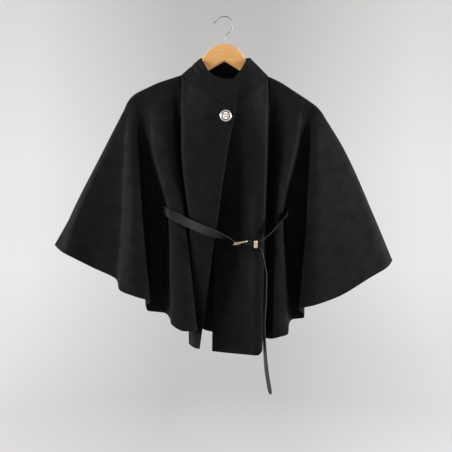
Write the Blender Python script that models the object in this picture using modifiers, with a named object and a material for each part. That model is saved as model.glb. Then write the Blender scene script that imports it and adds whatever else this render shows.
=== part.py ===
"""Wrap-front cape with a funnel collar, one button and a leather belt, on a wooden hanger.

The origin is the underside of the hanger hook's top, +Z is up, the front faces -Y.
Every table is in millimetres. A panel is a smooth surface through its ribs: a row says where
one rib starts on the neckline or shoulder and where it passes the chest, the waist and the hem.
"""

import math
from collections import namedtuple

import bpy
import bmesh
import numpy as np

MM = 0.001
CLOTH_THICK = 1.8
SEAM_HALF_GAP = 0.15
SLIT_SEAM_HALF_GAP = 0.3
SEAM_LIP = 1.6
CHEST_Z = -335.0
WAIST_Z = -496.0
UNDER_SHOULDER = (1.3, 4.5, 10.0, 22.0)
CHEST_ROWS, WAIST_ROWS, HEM_ROWS = 2, 2, 4
COLLAR_ROWS = 4
COLLAR_GAP, NECK_POINT_GAP, NECK_POINT_REACH = 0.9, 2.9, 19.0

LEFT_NECK_POINT, RIGHT_NECK_POINT, COLLAR_END = 6, 10, 15
SHOULDER_RUNS_LEFT, SHOULDER_RUNS_RIGHT = 6, 5

CollarRib = namedtuple("CollarRib", "name base top")
COLLAR = (
    CollarRib("over end", (30, -62, -240), (38, -46, -173)),
    CollarRib("over a", (18, -61, -237), (24, -46, -167)),
    CollarRib("over b", (0, -59, -225), (3, -43, -165)),
    CollarRib("over c", (-26, -54, -214), (-19, -36, -157)),
    CollarRib("front left", (-41, -49, -208), (-37, -27, -142)),
    CollarRib("side left", (-81, -26, -178), (-52, -14, -116)),
    CollarRib("left neck point", (-105, 0, -146), (-60, 6, -103)),
    CollarRib("back left", (-88, 30, -133), (-48, 25, -97)),
    CollarRib("back", (0, 42, -128), (2, 32, -96)),
    CollarRib("back right", (88, 30, -135), (51, 25, -97)),
    CollarRib("right neck point", (109, 0, -149), (65, 6, -101)),
    CollarRib("side right", (90, -26, -181), (57, -10, -110)),
    CollarRib("front right", (63, -42, -206), (40, -23, -139)),
    CollarRib("under a", (34, -48, -225), (21, -34, -163)),
    CollarRib("under b", (0, -48, -235), (0, -33, -177)),
    CollarRib("under end", (-29, -45, -242), (-27, -27, -181)),
)

LEFT_SHOULDER = (
    (-105, -146), (-132, -155), (-162, -165), (-193, -179), (-222, -194), (-236, -208), (-245, -225),
)
RIGHT_SHOULDER = (
    (109, -149), (140, -164), (176, -187), (211, -210), (232, -226), (246, -243),
)

Rib = namedtuple("Rib", "name start rounding chest waist hem")
RIGHT_FRONT = (
    Rib("front edge", 0.0, 0, (10, -65), (-13, -68), (-59, -52, -819)),
    Rib("face a", 2.0, 0, (-26, -64), (-38, -67), (-62, -48, -820)),
    Rib("face b", 4.0, 0, (-62, -62), (-63, -65), (-65, -43, -820)),
    Rib("crest e", 5.3, 0, (-99, -55), (-83, -59), (-69, -39, -820)),
    Rib("wall d", 5.8, 6, (-103, -34), (-90, -36), (-79, -20, -819)),
    Rib("turn d", 6.2, 10, (-108, -14), (-94, -18), (-87, 6, -817)),
    Rib("back of c", 6.6, 10, (-112, -20), (-95, -30), (-80, -24, -794)),
    Rib("right of c", 7.0, 10, (-116, -34), (-95, -54), (-63, -64, -774)),
    Rib("crest c", 8.0, 10, (-140, -40), (-112, -64), (-95, -78, -772)),
    Rib("left of c", 8.7, 10, (-168, -34), (-131, -60), (-124, -68, -758)),
    Rib("arm slit", 9.1, 10, (-178, -20), (-138, -32), (-132, -30, -749)),
)
RIGHT_SIDE = (
    Rib("arm slit", 9.1, 10, (-178, -20), (-138, -32), (-132, -30, -749)),
    Rib("right of b", 9.4, 10, (-189, -10), (-154, -9), (-147, -6, -739)),
    Rib("left of b", 9.7, 10, (-204, -8), (-193, -5), (-191, -4, -733)),
    Rib("back of a", 9.9, 10, (-212, -18), (-203, -24), (-192, -26, -718)),
    Rib("right of a", 10.1, 10, (-211, -29), (-198, -53), (-177, -64, -704)),
    Rib("crest a", 10.4, 10, (-225, -33), (-217, -63), (-212, -75, -690)),
    Rib("left of a", 10.7, 10, (-238, -29), (-236, -54), (-250, -60, -676)),
    Rib("turn w", 11.0, 10, (-246, -19), (-252, -28), (-264, -26, -654)),
    Rib("wing a", 11.3, 9, (-268, -15), (-306, -24), (-326, -20, -624)),
    Rib("wing b", 11.6, 6, (-289, -13), (-358, -26), (-388, -26, -592)),
    Rib("side", 12.0, 0, (-301, -1.6), (-382, -1.6), (-416, -1.6, -578)),
)
LEFT_FRONT = (
    Rib("front edge", 0.0, 0, (-27, -44), (-25, -27), (-29, -35, -828)),
    Rib("face a", 1.0, 0, (12, -46), (15, -33), (15, -44, -831)),
    Rib("face b", 2.0, 0, (54, -53), (54, -50), (54, -56, -832)),
    Rib("face c", 3.3, 0, (86, -55), (79, -63), (79, -66, -832)),
    Rib("crest f", 4.4, 0, (101, -52), (94, -62), (91, -62, -822)),
    Rib("back of f", 4.8, 6, (106, -26), (102, -30), (95, -26, -803)),
    Rib("turn g", 5.2, 10, (113, -10), (109, -12), (105, -6, -802)),
    Rib("left of h", 5.9, 10, (128, -26), (117, -34), (114, -40, -797)),
    Rib("crest h", 6.7, 10, (148, -36), (129, -51), (128, -62, -790)),
    Rib("right of h", 7.4, 10, (172, -33), (142, -46), (154, -52, -783)),
    Rib("arm slit", 7.7, 10, (182, -20), (148, -27), (159, -27, -764)),
)
LEFT_SIDE = (
    Rib("arm slit", 7.7, 10, (182, -20), (148, -27), (159, -27, -764)),
    Rib("left of i", 8.0, 10, (193, -10), (163, -8), (170, -6, -755)),
    Rib("right of i", 8.3, 10, (207, -8), (196, -5), (199, -4, -751)),
    Rib("back of j", 8.5, 10, (214, -18), (205, -24), (197, -24, -739)),
    Rib("left of j", 8.7, 10, (212, -30), (202, -50), (181, -56, -723)),
    Rib("crest j", 8.9, 10, (226, -32), (222, -55), (218, -64, -712)),
    Rib("wing a", 9.2, 10, (250, -26), (268, -45), (278, -53, -692)),
    Rib("wing b", 9.5, 9, (274, -18), (326, -30), (356, -36, -649)),
    Rib("wing c", 9.8, 6, (290, -11), (360, -20), (402, -23, -624)),
    Rib("side", 10.0, 0, (301, -1.6), (373, -1.6), (420, -1.6, -609)),
)
BACK = (
    Rib("left side", 0.0, 0, (-301, 1.6), (-382, 1.6), (-416, 1.6, -578)),
    Rib("left bulge", 0.4, 6, (-302, 9), (-384, 11), (-426, 12, -570)),
    Rib("fold a", 1.0, 9, (-278, 18), (-344, 27), (-378, 36, -594)),
    Rib("hollow b", 1.6, 10, (-248, 17), (-290, 24), (-312, 30, -622)),
    Rib("fold c", 2.2, 10, (-216, 24), (-236, 38), (-248, 54, -668)),
    Rib("hollow d", 3.2, 10, (-180, 20), (-186, 26), (-192, 33, -702)),
    Rib("fold e", 4.4, 10, (-140, 27), (-138, 44), (-138, 60, -734)),
    Rib("hollow f", 5.6, 10, (-95, 28), (-88, 32), (-86, 36, -768)),
    Rib("fold g", 7.0, 0, (-48, 37), (-40, 48), (-38, 61, -796)),
    Rib("hollow h", 8.2, 0, (6, 40), (12, 38), (14, 38, -801)),
    Rib("fold i", 9.2, 0, (56, 36), (64, 48), (66, 62, -797)),
    Rib("hollow j", 10.5, 12, (100, 27), (112, 32), (116, 36, -782)),
    Rib("fold k", 11.4, 10, (142, 26), (160, 42), (166, 58, -748)),
    Rib("hollow l", 12.2, 10, (184, 20), (210, 27), (222, 33, -714)),
    Rib("fold m", 13.0, 10, (222, 23), (262, 36), (284, 50, -688)),
    Rib("hollow n", 13.8, 9, (258, 17), (316, 24), (350, 30, -650)),
    Rib("right bulge", 14.5, 6, (288, 10), (356, 14), (398, 16, -624)),
    Rib("right side", 15.0, 0, (301, 1.6), (373, 1.6), (420, 1.6, -609)),
)

SLIT_TOP_Z, SLIT_FOOT_Z, SLIT_OPEN = -422.0, -640.0, 9.0

BeltPoint = namedtuple("BeltPoint", "name x y z tilt turn")
BELT = (
    BeltPoint("folded end", 66, -82, -563.4, 90, 0),
    BeltPoint("under bar", 58, -82, -562.4, 90, 0),
    BeltPoint("bar foot", 54, -82, -561.3, 90, 0),
    BeltPoint("bar side", 51.2, -82, -558.5, 90, 0),
    BeltPoint("bar head", 54, -82, -555.7, 90, 0),
    BeltPoint("over bar", 60, -82, -557.6, 90, 0),
    BeltPoint("keeper in", 68, -82, -559.5, 90, 0),
    BeltPoint("keeper out", 82, -82, -559.3, 90, 0),
    BeltPoint("right run a", 96, -80, -552, 90, 0),
    BeltPoint("right run b", 112, -76, -539, 90, 0),
    BeltPoint("right run c", 128, -68, -521.5, 88, 0),
    BeltPoint("right wrap a", 140.5, -62, -508, 80, 0),
    BeltPoint("right wrap b", 150.5, -52.5, -498, 55, 0),
    BeltPoint("right turn", 155, -41, -491, 15, 0),
    BeltPoint("right slit", 151, -28.5, -488, 0, 0),
    BeltPoint("right inside", 141, -25, -486, 0, 0),
    BeltPoint("back right", 112, -8, -483, 0, 0),
    BeltPoint("back a", 58, 10, -480, 0, 0),
    BeltPoint("back b", 0, 14, -479, 0, 0),
    BeltPoint("back c", -58, 10, -478, 0, 0),
    BeltPoint("back left", -104, -10, -478, 0, 0),
    BeltPoint("left inside", -131, -28, -481, 0, 0),
    BeltPoint("left slit", -145, -33.5, -482, 0, 0),
    BeltPoint("left turn", -145, -43, -483, 0, 0),
    BeltPoint("left wrap b", -140.5, -54, -486, 4, 0),
    BeltPoint("left wrap a", -133, -63.5, -491, 6, 0),
    BeltPoint("left run a", -112, -67.8, -502.5, 0, 0),
    BeltPoint("left run b", -80, -70, -518, 0, 0),
    BeltPoint("left run c", -46, -73, -532.5, 6, 0),
    BeltPoint("left run d", -14, -76.4, -543.5, 36, 0),
    BeltPoint("left run e", 8, -81, -549.8, 78, 0),
    BeltPoint("over frame", 26, -82, -559.2, 90, 0),
    BeltPoint("under loop", 54, -82, -564.9, 90, 0),
    BeltPoint("tail in keeper", 72, -82, -567.4, 90, 0),
    BeltPoint("tail out", 82, -82, -571, 90, 0),
    BeltPoint("tail bend", 90, -82, -584, 90, 0),
    BeltPoint("tail a", 95, -82, -608, 90, 4),
    BeltPoint("tail b", 100, -82, -640, 90, 6),
    BeltPoint("tail c", 99, -82, -698, 90, 8),
    BeltPoint("tail d", 95, -82, -760, 90, 12),
    BeltPoint("tail e", 97, -81, -816, 90, 18),
    BeltPoint("tail f", 101, -80, -864, 90, 24),
    BeltPoint("tail tip", 110, -79, -921, 90, 26),
)
BELT_WIDE, BELT_THICK, BELT_TIP_LONG = 20.0, 2.0, 14.0
BELT_STEP = 9.0

BUCKLE_Y = -82.0
HINGE_BAR = (54.0, -558.5)
FAR_BAR = (26.0, -563.0)
BUCKLE_HALF_WIDE, BUCKLE_WIRE, HINGE_WIRE = 13.2, 1.8, 1.1
BUCKLE_CORNER = ((3.0, 0.0), (1.0, 1.0), (0.0, 3.0))
PRONG_WIRE, PRONG_GAP = 1.2, 0.3
PRONG = ((-4.5, -3.4), (0.0, -3.3), (8.0, -2.6), (15.0, 0.6), (21.0, 3.4))
PRONG_SLOT_LOW, PRONG_SLOT_HIGH = (36.0, BUCKLE_Y - 1.8, -575.0), (57.0, BUCKLE_Y + 1.8, -550.0)
KEEPER_LOW, KEEPER_HIGH = (69.5, BUCKLE_Y - 12.2, -574.6), (80.0, BUCKLE_Y + 12.2, -556.2)
KEEPER_WALL, KEEPER_EDGE = 1.6, 0.5

BUTTON_AT = (4.3, -258.5)
BUTTON_GAP = 0.3
BUTTON_PROFILE = (
    (0, 5.6), (4, 5.4), (8, 4.6), (10.4, 3.9), (11.2, 4.9), (12.8, 5.3), (14, 4.2), (14, 3.2),
    (12.8, 2.2), (4, 2.2), (4, 0), (0, 0),
)

HEAD_LEFT = (
    (1.5, -67), (-12, -69), (-24, -74), (-38, -84), (-48, -96), (-55, -107.5), (-66, -125), (-79, -143),
    (-94, -154), (-112, -159.5), (-136, -162.5),
)
HEAD_RIGHT = (
    (16, -69.5), (27, -74), (41, -87), (50, -99), (57, -110.5), (68, -128), (81, -146), (97, -159),
    (116, -165), (138, -168.5),
)
UNDERSIDE = (
    (-226, -221), (-215, -217), (-160, -195), (-106, -175), (-80, -160), (-38, -134), (-16, -121),
    (1.5, -113), (18, -121), (41, -135), (84, -162), (110, -179), (140, -193), (176, -213),
    (211, -234), (221, -240),
)
HANGER_THICK, HANGER_BEVEL, HANGER_UNDER_CLOTH = 12.0, 5.6, 1.8
LEFT_END, RIGHT_END = (-232, -214), (229, -234)

HOOK = (
    (1.5, -66), (2.5, -53), (8, -43.5), (16, -35.5), (20.8, -21), (20.5, -11.5), (14.3, -3.6),
    (7, 0.6), (0, 1.4), (-8, -0.8), (-14.3, -5.3), (-20.8, -12.2), (-28, -15.8),
)
HOOK_WIRE = 1.4
HOOK_START_GAP = 0.3


# Curves and fold shapes

def slopes_of(knots, values):
    """Slopes at the knots for a cubic that never overshoots its values."""
    run = np.diff(knots, axis=0)
    rise = np.diff(values, axis=0) / run
    slopes = np.empty_like(values, dtype=float)
    before, after = rise[:-1], rise[1:]
    weight_a, weight_b = 2 * run[1:] + run[:-1], run[1:] + 2 * run[:-1]
    same = before * after > 0
    safe_before, safe_after = np.where(same, before, 1.0), np.where(same, after, 1.0)
    mean = (weight_a + weight_b) / (weight_a / safe_before + weight_b / safe_after)
    slopes[1:-1] = np.where(same, mean, 0.0)
    slopes[0], slopes[-1] = rise[0], rise[-1]
    return slopes


def hermite(start, end, slope_start, slope_end, run, share):
    """Cubic from start to end over a run, at shares from 0 to 1."""
    a = 2 * share**3 - 3 * share**2 + 1
    b = share**3 - 2 * share**2 + share
    c = -2 * share**3 + 3 * share**2
    d = share**3 - share**2
    return a * start + b * slope_start * run + c * end + d * slope_end * run


def through(values, at):
    """Smooth curve through rows at knots 0, 1, 2 and so on, read at the given places."""
    values = np.asarray(values, float)
    at = np.atleast_1d(np.asarray(at, float))
    knots = np.arange(len(values), dtype=float).reshape((-1,) + (1,) * (values.ndim - 1))
    slopes = slopes_of(knots, values)
    low = np.clip(np.floor(at).astype(int), 0, len(values) - 2)
    share = (at - low).reshape((-1,) + (1,) * (values.ndim - 1))
    return hermite(values[low], values[low + 1], slopes[low], slopes[low + 1], 1.0, share)


def neckline(station):
    return through([rib.base for rib in COLLAR], station)


def shoulder(rows, place):
    flat = through(rows, place)
    return np.column_stack([flat[:, 0], np.zeros(len(flat)), flat[:, 1]])


def right_upper_line(start):
    """Right front: the neckline up to its neck point, then along the shoulder."""
    on_neck = start <= LEFT_NECK_POINT
    return np.where(
        on_neck[:, None],
        neckline(np.minimum(start, LEFT_NECK_POINT)),
        shoulder(LEFT_SHOULDER, np.maximum(start - LEFT_NECK_POINT, 0)),
    )


def left_upper_line(start):
    """Left front: the neckline from its lapped end to its neck point, then along the shoulder."""
    turn = COLLAR_END - RIGHT_NECK_POINT
    return np.where(
        (start <= turn)[:, None],
        neckline(COLLAR_END - np.minimum(start, turn)),
        shoulder(RIGHT_SHOULDER, np.maximum(start - turn, 0)),
    )


def back_upper_line(start):
    """Back: up one shoulder, along the back of the neck and down the other shoulder."""
    left = shoulder(LEFT_SHOULDER, np.clip(SHOULDER_RUNS_LEFT - start, 0, SHOULDER_RUNS_LEFT))
    neck = neckline(np.clip(start, LEFT_NECK_POINT, RIGHT_NECK_POINT))
    right = shoulder(RIGHT_SHOULDER, np.clip(start - RIGHT_NECK_POINT, 0, SHOULDER_RUNS_RIGHT))
    upper = np.where((start < LEFT_NECK_POINT)[:, None], left, neck)
    return np.where((start > RIGHT_NECK_POINT)[:, None], right, upper)


# Panels

def panel_points(ribs, places, upper_line, outward):
    """Points of a panel, rows by columns, at the given places between its ribs."""
    start = np.interp(places, np.arange(len(ribs)), [rib.start for rib in ribs])
    rounding = np.interp(places, np.arange(len(ribs)), [rib.rounding for rib in ribs])
    top = upper_line(start)
    chest = through([rib.chest for rib in ribs], places)
    waist = through([rib.waist for rib in ribs], places)
    hem = through([rib.hem for rib in ribs], places)
    levels = np.array([top[:, 2], np.full(len(top), CHEST_Z), np.full(len(top), WAIST_Z), hem[:, 2]])
    across = np.array([top[:, 0], chest[:, 0], waist[:, 0], hem[:, 0]])
    depth = np.array([top[:, 1], chest[:, 1], waist[:, 1], hem[:, 1]])
    across_slope = slopes_of(levels, across)
    depth_slope = slopes_of(levels[1:], depth[1:])
    rows = []
    run = levels[1] - levels[0]
    first = np.array((0.0,) + UNDER_SHOULDER)
    more = np.linspace(0, 1, CHEST_ROWS + 1)[1:]
    downs = [np.full(len(top), d) for d in first] + [first[-1] + (-run - first[-1]) * f for f in more]
    for down in downs:
        share = down / -run
        x = hermite(across[0], across[1], across_slope[0], across_slope[1], run, share)
        near = np.clip(down / np.maximum(rounding, 1e-6), 0, 1)
        round_over = outward * rounding * np.sqrt(1 - (1 - near) ** 2)
        left = depth[1] - depth[0] - outward * rounding
        y = depth[0] + round_over + hermite(0.0, left, 0.0, depth_slope[0], run, share)
        rows.append(np.column_stack([x, y, levels[0] - down]))
    for part, count in ((1, WAIST_ROWS), (2, HEM_ROWS)):
        run = levels[part + 1] - levels[part]
        for share in np.linspace(0, 1, count + 1)[1:]:
            ends = (across[part], across[part + 1], across_slope[part], across_slope[part + 1])
            x = hermite(*ends, run, share)
            ends = (depth[part], depth[part + 1], depth_slope[part - 1], depth_slope[part])
            y = hermite(*ends, run, share)
            rows.append(np.column_stack([x, y, levels[part] + run * share]))
    return np.array(rows), start


def add_top_lip(points, on_shoulder, outward):
    """A short first row: straight back at a shoulder seam, straight up under the collar."""
    lip = points[0].copy()
    second = points[0].copy()
    lip[:, 1] += np.where(on_shoulder, outward * SEAM_HALF_GAP, 0)
    second[:, 1] += np.where(on_shoulder, outward * SEAM_LIP, 0)
    second[:, 2] -= np.where(on_shoulder, 0, UNDER_SHOULDER[0] / 2)
    below = points[1:].copy()
    below[:, :, 1] = outward * np.maximum(below[:, :, 1] * outward, SEAM_LIP)
    return np.concatenate([lip[None], second[None], below])


def side_lips(column, neighbour, outward):
    """The side column and the seam edge beside it, which runs straight back to the side seam."""
    edge = column.copy()
    edge[:, 1] = outward * SEAM_HALF_GAP
    edge[1] = (edge[0] + edge[2]) / 2
    inner = column.copy()
    inward = neighbour[0] - column[0]
    inner[:2] += inward * SEAM_LIP / np.linalg.norm(inward)
    return inner, edge


def slit_width(z):
    """How far each edge of the arm slit stands back from the seam line at a height."""
    share = np.clip((z - SLIT_FOOT_Z) / (SLIT_TOP_Z - SLIT_FOOT_Z), 0, 1)
    return SLIT_OPEN * np.sin(math.pi * share) ** 2


def slit_lips(column, tangent, way):
    """Two edge columns at the arm-slit seam, set back along the cloth by the seam gap."""
    apart = slit_width(column[:, 2:3])
    inner = column + way * tangent * (apart + SEAM_LIP)
    edge = column + way * tangent * (apart + SLIT_SEAM_HALF_GAP)
    return inner, edge


def unit(vectors):
    return vectors / np.linalg.norm(vectors, axis=-1, keepdims=True)


def front_halves(front_ribs, side_ribs, upper_line, neck_turn, steps):
    """A front and its side piece, parted along the arm-slit seam."""
    whole = front_ribs + side_ribs[1:]
    seam_place = len(front_ribs) - 1
    places = np.linspace(0, len(whole) - 1, (len(whole) - 1) * steps + 1)
    points, start = panel_points(whole, places, upper_line, -1)
    points = add_top_lip(points, start > neck_turn - 0.01, -1)
    seam = seam_place * steps
    tangent = unit(points[:, seam + 1] - points[:, seam - 1])
    inner, edge = slit_lips(points[:, seam], tangent, -1)
    front = np.concatenate([points[:, :seam], inner[:, None], edge[:, None]], axis=1)
    inner, edge = slit_lips(points[:, seam], tangent, 1)
    side = [edge[:, None], inner[:, None], points[:, seam + 1:-1]]
    side += [column[:, None] for column in side_lips(points[:, -1], points[:, -2], -1)]
    return front, np.concatenate(side, axis=1)


def back_points(steps):
    places = np.linspace(0, len(BACK) - 1, (len(BACK) - 1) * steps + 1)
    points, start = panel_points(BACK, places, back_upper_line, 1)
    on_neck = (start > LEFT_NECK_POINT + 0.01) & (start < RIGHT_NECK_POINT - 0.01)
    points = add_top_lip(points, ~on_neck, 1)
    left = [column[:, None] for column in side_lips(points[:, 0], points[:, 1], 1)]
    right = [column[:, None] for column in side_lips(points[:, -1], points[:, -2], 1)]
    return np.concatenate(left[::-1] + [points[:, 1:-1]] + right, axis=1)


def collar_points(steps):
    """The band from its base ring on the neckline up to its top ring, ends lapped in front."""
    stations = np.linspace(0, COLLAR_END, COLLAR_END * steps + 1)
    base = neckline(stations)
    top = through([rib.top for rib in COLLAR], stations)
    base[:, 2] += COLLAR_GAP + NECK_POINT_GAP * np.exp(-((base[:, 1] / NECK_POINT_REACH) ** 2))
    lip = base + (0, 0, SEAM_LIP)
    rows = [base, lip]
    rows += [lip + (top - lip) * share for share in np.linspace(0, 1, COLLAR_ROWS + 1)[1:]]
    return np.array(rows)


# Objects

def clear_scene():
    for obj in list(bpy.data.objects):
        bpy.data.objects.remove(obj, do_unlink=True)


def new_collection(name):
    collection = bpy.data.collections.new(name)
    bpy.context.scene.collection.children.link(collection)
    return collection


def new_material(name, colour, roughness, metallic=0.0):
    material = bpy.data.materials.new(name)
    material.use_nodes = True
    shader = material.node_tree.nodes["Principled BSDF"]
    shader.inputs["Base Color"].default_value = (*colour, 1.0)
    shader.inputs["Roughness"].default_value = roughness
    shader.inputs["Metallic"].default_value = metallic
    return material


def add_object(name, data, material, collection):
    obj = bpy.data.objects.new(name, data)
    if material:
        data.materials.append(material)
    collection.objects.link(obj)
    return obj


def grid_mesh(name, points):
    """Quads over a grid of points, given in millimetres."""
    rows, columns = points.shape[:2]
    corner = np.arange(rows * columns).reshape(rows, columns)
    quads = np.stack([corner[:-1, :-1], corner[:-1, 1:], corner[1:, 1:], corner[1:, :-1]], axis=-1)
    mesh = bpy.data.meshes.new(name)
    mesh.from_pydata((points.reshape(-1, 3) * MM).tolist(), [], quads.reshape(-1, 4).tolist())
    mesh.update()
    mesh.shade_smooth()
    return mesh


def add_cloth(name, points, material, collection):
    obj = add_object(name, grid_mesh(name, points), material, collection)
    solidify = obj.modifiers.new("cloth thickness", "SOLIDIFY")
    solidify.thickness = CLOTH_THICK * MM
    solidify.offset = 0.0
    return obj


def add_wire(name, points, radius, material, collection, cyclic=False):
    """A round wire along points, as a curve with filled caps."""
    curve = bpy.data.curves.new(name, "CURVE")
    curve.dimensions = "3D"
    curve.bevel_depth = radius * MM
    curve.bevel_resolution = 2
    curve.use_fill_caps = not cyclic
    spline = curve.splines.new("POLY")
    spline.points.add(len(points) - 1)
    for target, point in zip(spline.points, points):
        target.co = (*(value * MM for value in point), 1.0)
    spline.use_cyclic_u = cyclic
    return add_object(name, curve, material, collection)


def box_mesh(name, low, high):
    """A box from its lowest to its highest corner, given in millimetres."""
    mesh = bpy.data.meshes.new(name)
    form = bmesh.new()
    bmesh.ops.create_cube(form, size=1.0)
    low, high = np.array(low) * MM, np.array(high) * MM
    for vertex in form.verts:
        vertex.co = low + (np.array(vertex.co) + 0.5) * (high - low)
    form.to_mesh(mesh)
    form.free()
    return mesh


def cut_with_box(obj, name, low, high, cutters):
    """Cut a box-shaped hole, with the box kept as a cutter drawn in wire."""
    cutter = add_object(name, box_mesh(name, low, high), None, cutters)
    cutter.hide_render = True
    cutter.display_type = "WIRE"
    cut = obj.modifiers.new(name, "BOOLEAN")
    cut.operation = "DIFFERENCE"
    cut.object = cutter


def add_bevel(obj, width, segments, least_angle):
    bevel = obj.modifiers.new("rounded edges", "BEVEL")
    bevel.width = width * MM
    bevel.segments = segments
    bevel.limit_method = "ANGLE"
    bevel.angle_limit = math.radians(least_angle)


# Belt, buckle and keeper

def belt_sections():
    """Four corners of the strap at each step of its path, with its width turned by the table."""
    rows = np.array([point[1:] for point in BELT], float)
    knots = np.concatenate([[0], np.cumsum(np.linalg.norm(np.diff(rows[:, :3], axis=0), axis=1))])
    dense = np.linspace(0, len(BELT) - 1, len(BELT) * 12)
    length = np.interp(dense, np.arange(len(BELT)), knots)
    places = np.concatenate([
        np.arange(0, knots[7], BELT_STEP / 5),
        np.arange(knots[7], knots[-1] - BELT_TIP_LONG, BELT_STEP),
        knots[-1] - BELT_TIP_LONG * np.array([1.0, 0.6, 0.3, 0.12, 0.0]),
    ])
    path = through(rows, np.interp(places, length, dense))
    centre, tilt, turn = path[:, :3], np.radians(path[:, 3]), np.radians(path[:, 4])
    tangent = unit(np.gradient(centre, axis=0))
    wide = np.column_stack([np.sin(turn) * np.sin(tilt), -np.cos(turn) * np.sin(tilt), np.cos(tilt)])
    wide = unit(wide - tangent * np.sum(wide * tangent, axis=1, keepdims=True))
    thick = np.cross(tangent, wide)
    to_tip = np.clip((knots[-1] - places) / BELT_TIP_LONG, 0, 1)
    half = BELT_WIDE / 2 * (0.25 + 0.75 * np.sqrt(1 - (1 - to_tip) ** 2))[:, None]
    corners = [(1, 1), (1, -1), (-1, -1), (-1, 1)]
    return np.stack([centre + a * half * wide + b * BELT_THICK / 2 * thick for a, b in corners], axis=1)


def strap_mesh(name, sections):
    """A closed strap through four-cornered sections."""
    count = len(sections)
    corner = np.arange(count * 4).reshape(count, 4)
    beside = np.roll(corner, -1, axis=1)
    sides = np.stack([corner[:-1], beside[:-1], beside[1:], corner[1:]], axis=-1).reshape(-1, 4)
    faces = sides.tolist() + [corner[0][::-1].tolist(), corner[-1].tolist()]
    mesh = bpy.data.meshes.new(name)
    mesh.from_pydata((sections.reshape(-1, 3) * MM).tolist(), [], faces)
    form = bmesh.new()
    form.from_mesh(mesh)
    bmesh.ops.recalc_face_normals(form, faces=form.faces)
    form.to_mesh(mesh)
    form.free()
    return mesh


def build_belt(leather, metal, parts, cutters):
    belt = add_object("belt", strap_mesh("belt", belt_sections()), leather, parts)
    cut_with_box(belt, "prong_slot", PRONG_SLOT_LOW, PRONG_SLOT_HIGH, cutters)
    build_buckle(metal, parts)
    build_keeper(metal, parts, cutters)


def build_buckle(metal, parts):
    """A rounded frame of wire, with a thinner hinge bar and a prong that rests on the far bar."""
    (hinge_x, hinge_z), (far_x, far_z) = HINGE_BAR, FAR_BAR
    slope = (hinge_z - far_z) / (hinge_x - far_x)
    points = []
    for end_x, into, side in ((far_x, 1, 1), (hinge_x, -1, 1), (hinge_x, -1, -1), (far_x, 1, -1)):
        corner = [
            (end_x + into * across, BUCKLE_Y + side * (BUCKLE_HALF_WIDE - along))
            for along, across in BUCKLE_CORNER
        ]
        points += corner if into == side else corner[::-1]
    path = [(x, y, far_z + (x - far_x) * slope) for x, y in points]
    frame = add_wire("buckle_frame", path, BUCKLE_WIRE, metal, parts, cyclic=True)
    for target, (x, _, _) in zip(frame.data.splines[0].points, path):
        target.radius = HINGE_WIRE / BUCKLE_WIRE if x == hinge_x else 1.0
    prong = [(far_x + along, BUCKLE_Y, far_z + up) for along, up in PRONG]
    prong.append((hinge_x - HINGE_WIRE - PRONG_GAP, BUCKLE_Y, hinge_z))
    add_wire("buckle_prong", prong, PRONG_WIRE, metal, parts)


def build_keeper(metal, parts, cutters):
    """A box-shaped metal loop round both layers of the belt."""
    keeper = add_object("belt_keeper", box_mesh("belt_keeper", KEEPER_LOW, KEEPER_HIGH), metal, parts)
    past = np.array((2.0, -KEEPER_WALL, -KEEPER_WALL))
    cut_with_box(keeper, "keeper_loop", KEEPER_LOW - past, KEEPER_HIGH + past, cutters)
    add_bevel(keeper, KEEPER_EDGE, 1, 30)


# Button

def build_button(metal, parts, cloth_y):
    """A turned disc with a raised rim and a short shank that stands on the cloth."""
    mesh = bpy.data.meshes.new("button")
    points = [(radius * MM, 0, height * MM) for radius, height in BUTTON_PROFILE]
    mesh.from_pydata(points, [(i, i + 1) for i in range(len(points) - 1)], [])
    obj = add_object("button", mesh, metal, parts)
    screw = obj.modifiers.new("turned", "SCREW")
    screw.steps = screw.render_steps = 24
    screw.use_merge_vertices = True
    screw.merge_threshold = 0.00005
    screw.use_normal_calculate = True
    obj.rotation_euler = (math.radians(90), 0, 0)
    obj.location = (BUTTON_AT[0] * MM, (cloth_y - CLOTH_THICK / 2 - BUTTON_GAP) * MM, BUTTON_AT[1] * MM)


# Hanger

def arm_top(rows):
    """The arm's upper edge: the shoulder line lowered by the cloth."""
    return [(x, z - HANGER_UNDER_CLOTH) for x, z in rows]


def build_hanger(wood, steel, parts):
    """A flat wooden body cut to its outline and rounded, and the bent wire hook in its head."""
    left_arm = arm_top(LEFT_SHOULDER[2:5])
    right_arm = arm_top(RIGHT_SHOULDER[2:4])
    outline = list(HEAD_LEFT) + left_arm + [LEFT_END] + list(UNDERSIDE) + [RIGHT_END]
    outline += right_arm[::-1] + list(HEAD_RIGHT[::-1])
    mesh = bpy.data.meshes.new("hanger_body")
    form = bmesh.new()
    half = HANGER_THICK / 2
    face = form.faces.new([form.verts.new((x * MM, -half * MM, z * MM)) for x, z in outline])
    moved = bmesh.ops.extrude_face_region(form, geom=[face])["geom"]
    back = [item for item in moved if isinstance(item, bmesh.types.BMVert)]
    bmesh.ops.translate(form, verts=back, vec=(0, HANGER_THICK * MM, 0))
    bmesh.ops.recalc_face_normals(form, faces=form.faces)
    form.to_mesh(mesh)
    form.free()
    body = add_object("hanger_body", mesh, wood, parts)
    add_bevel(body, HANGER_BEVEL, 3, 60)
    path = through(HOOK, np.linspace(0, len(HOOK) - 1, 30))
    start_z = HEAD_LEFT[0][1] + HOOK_START_GAP
    points = [(HOOK[0][0], 0, start_z)] + [(x, 0, z) for x, z in path if z > start_z + HOOK_WIRE]
    add_wire("hanger_hook", points, HOOK_WIRE, steel, parts)


# The whole part

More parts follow.
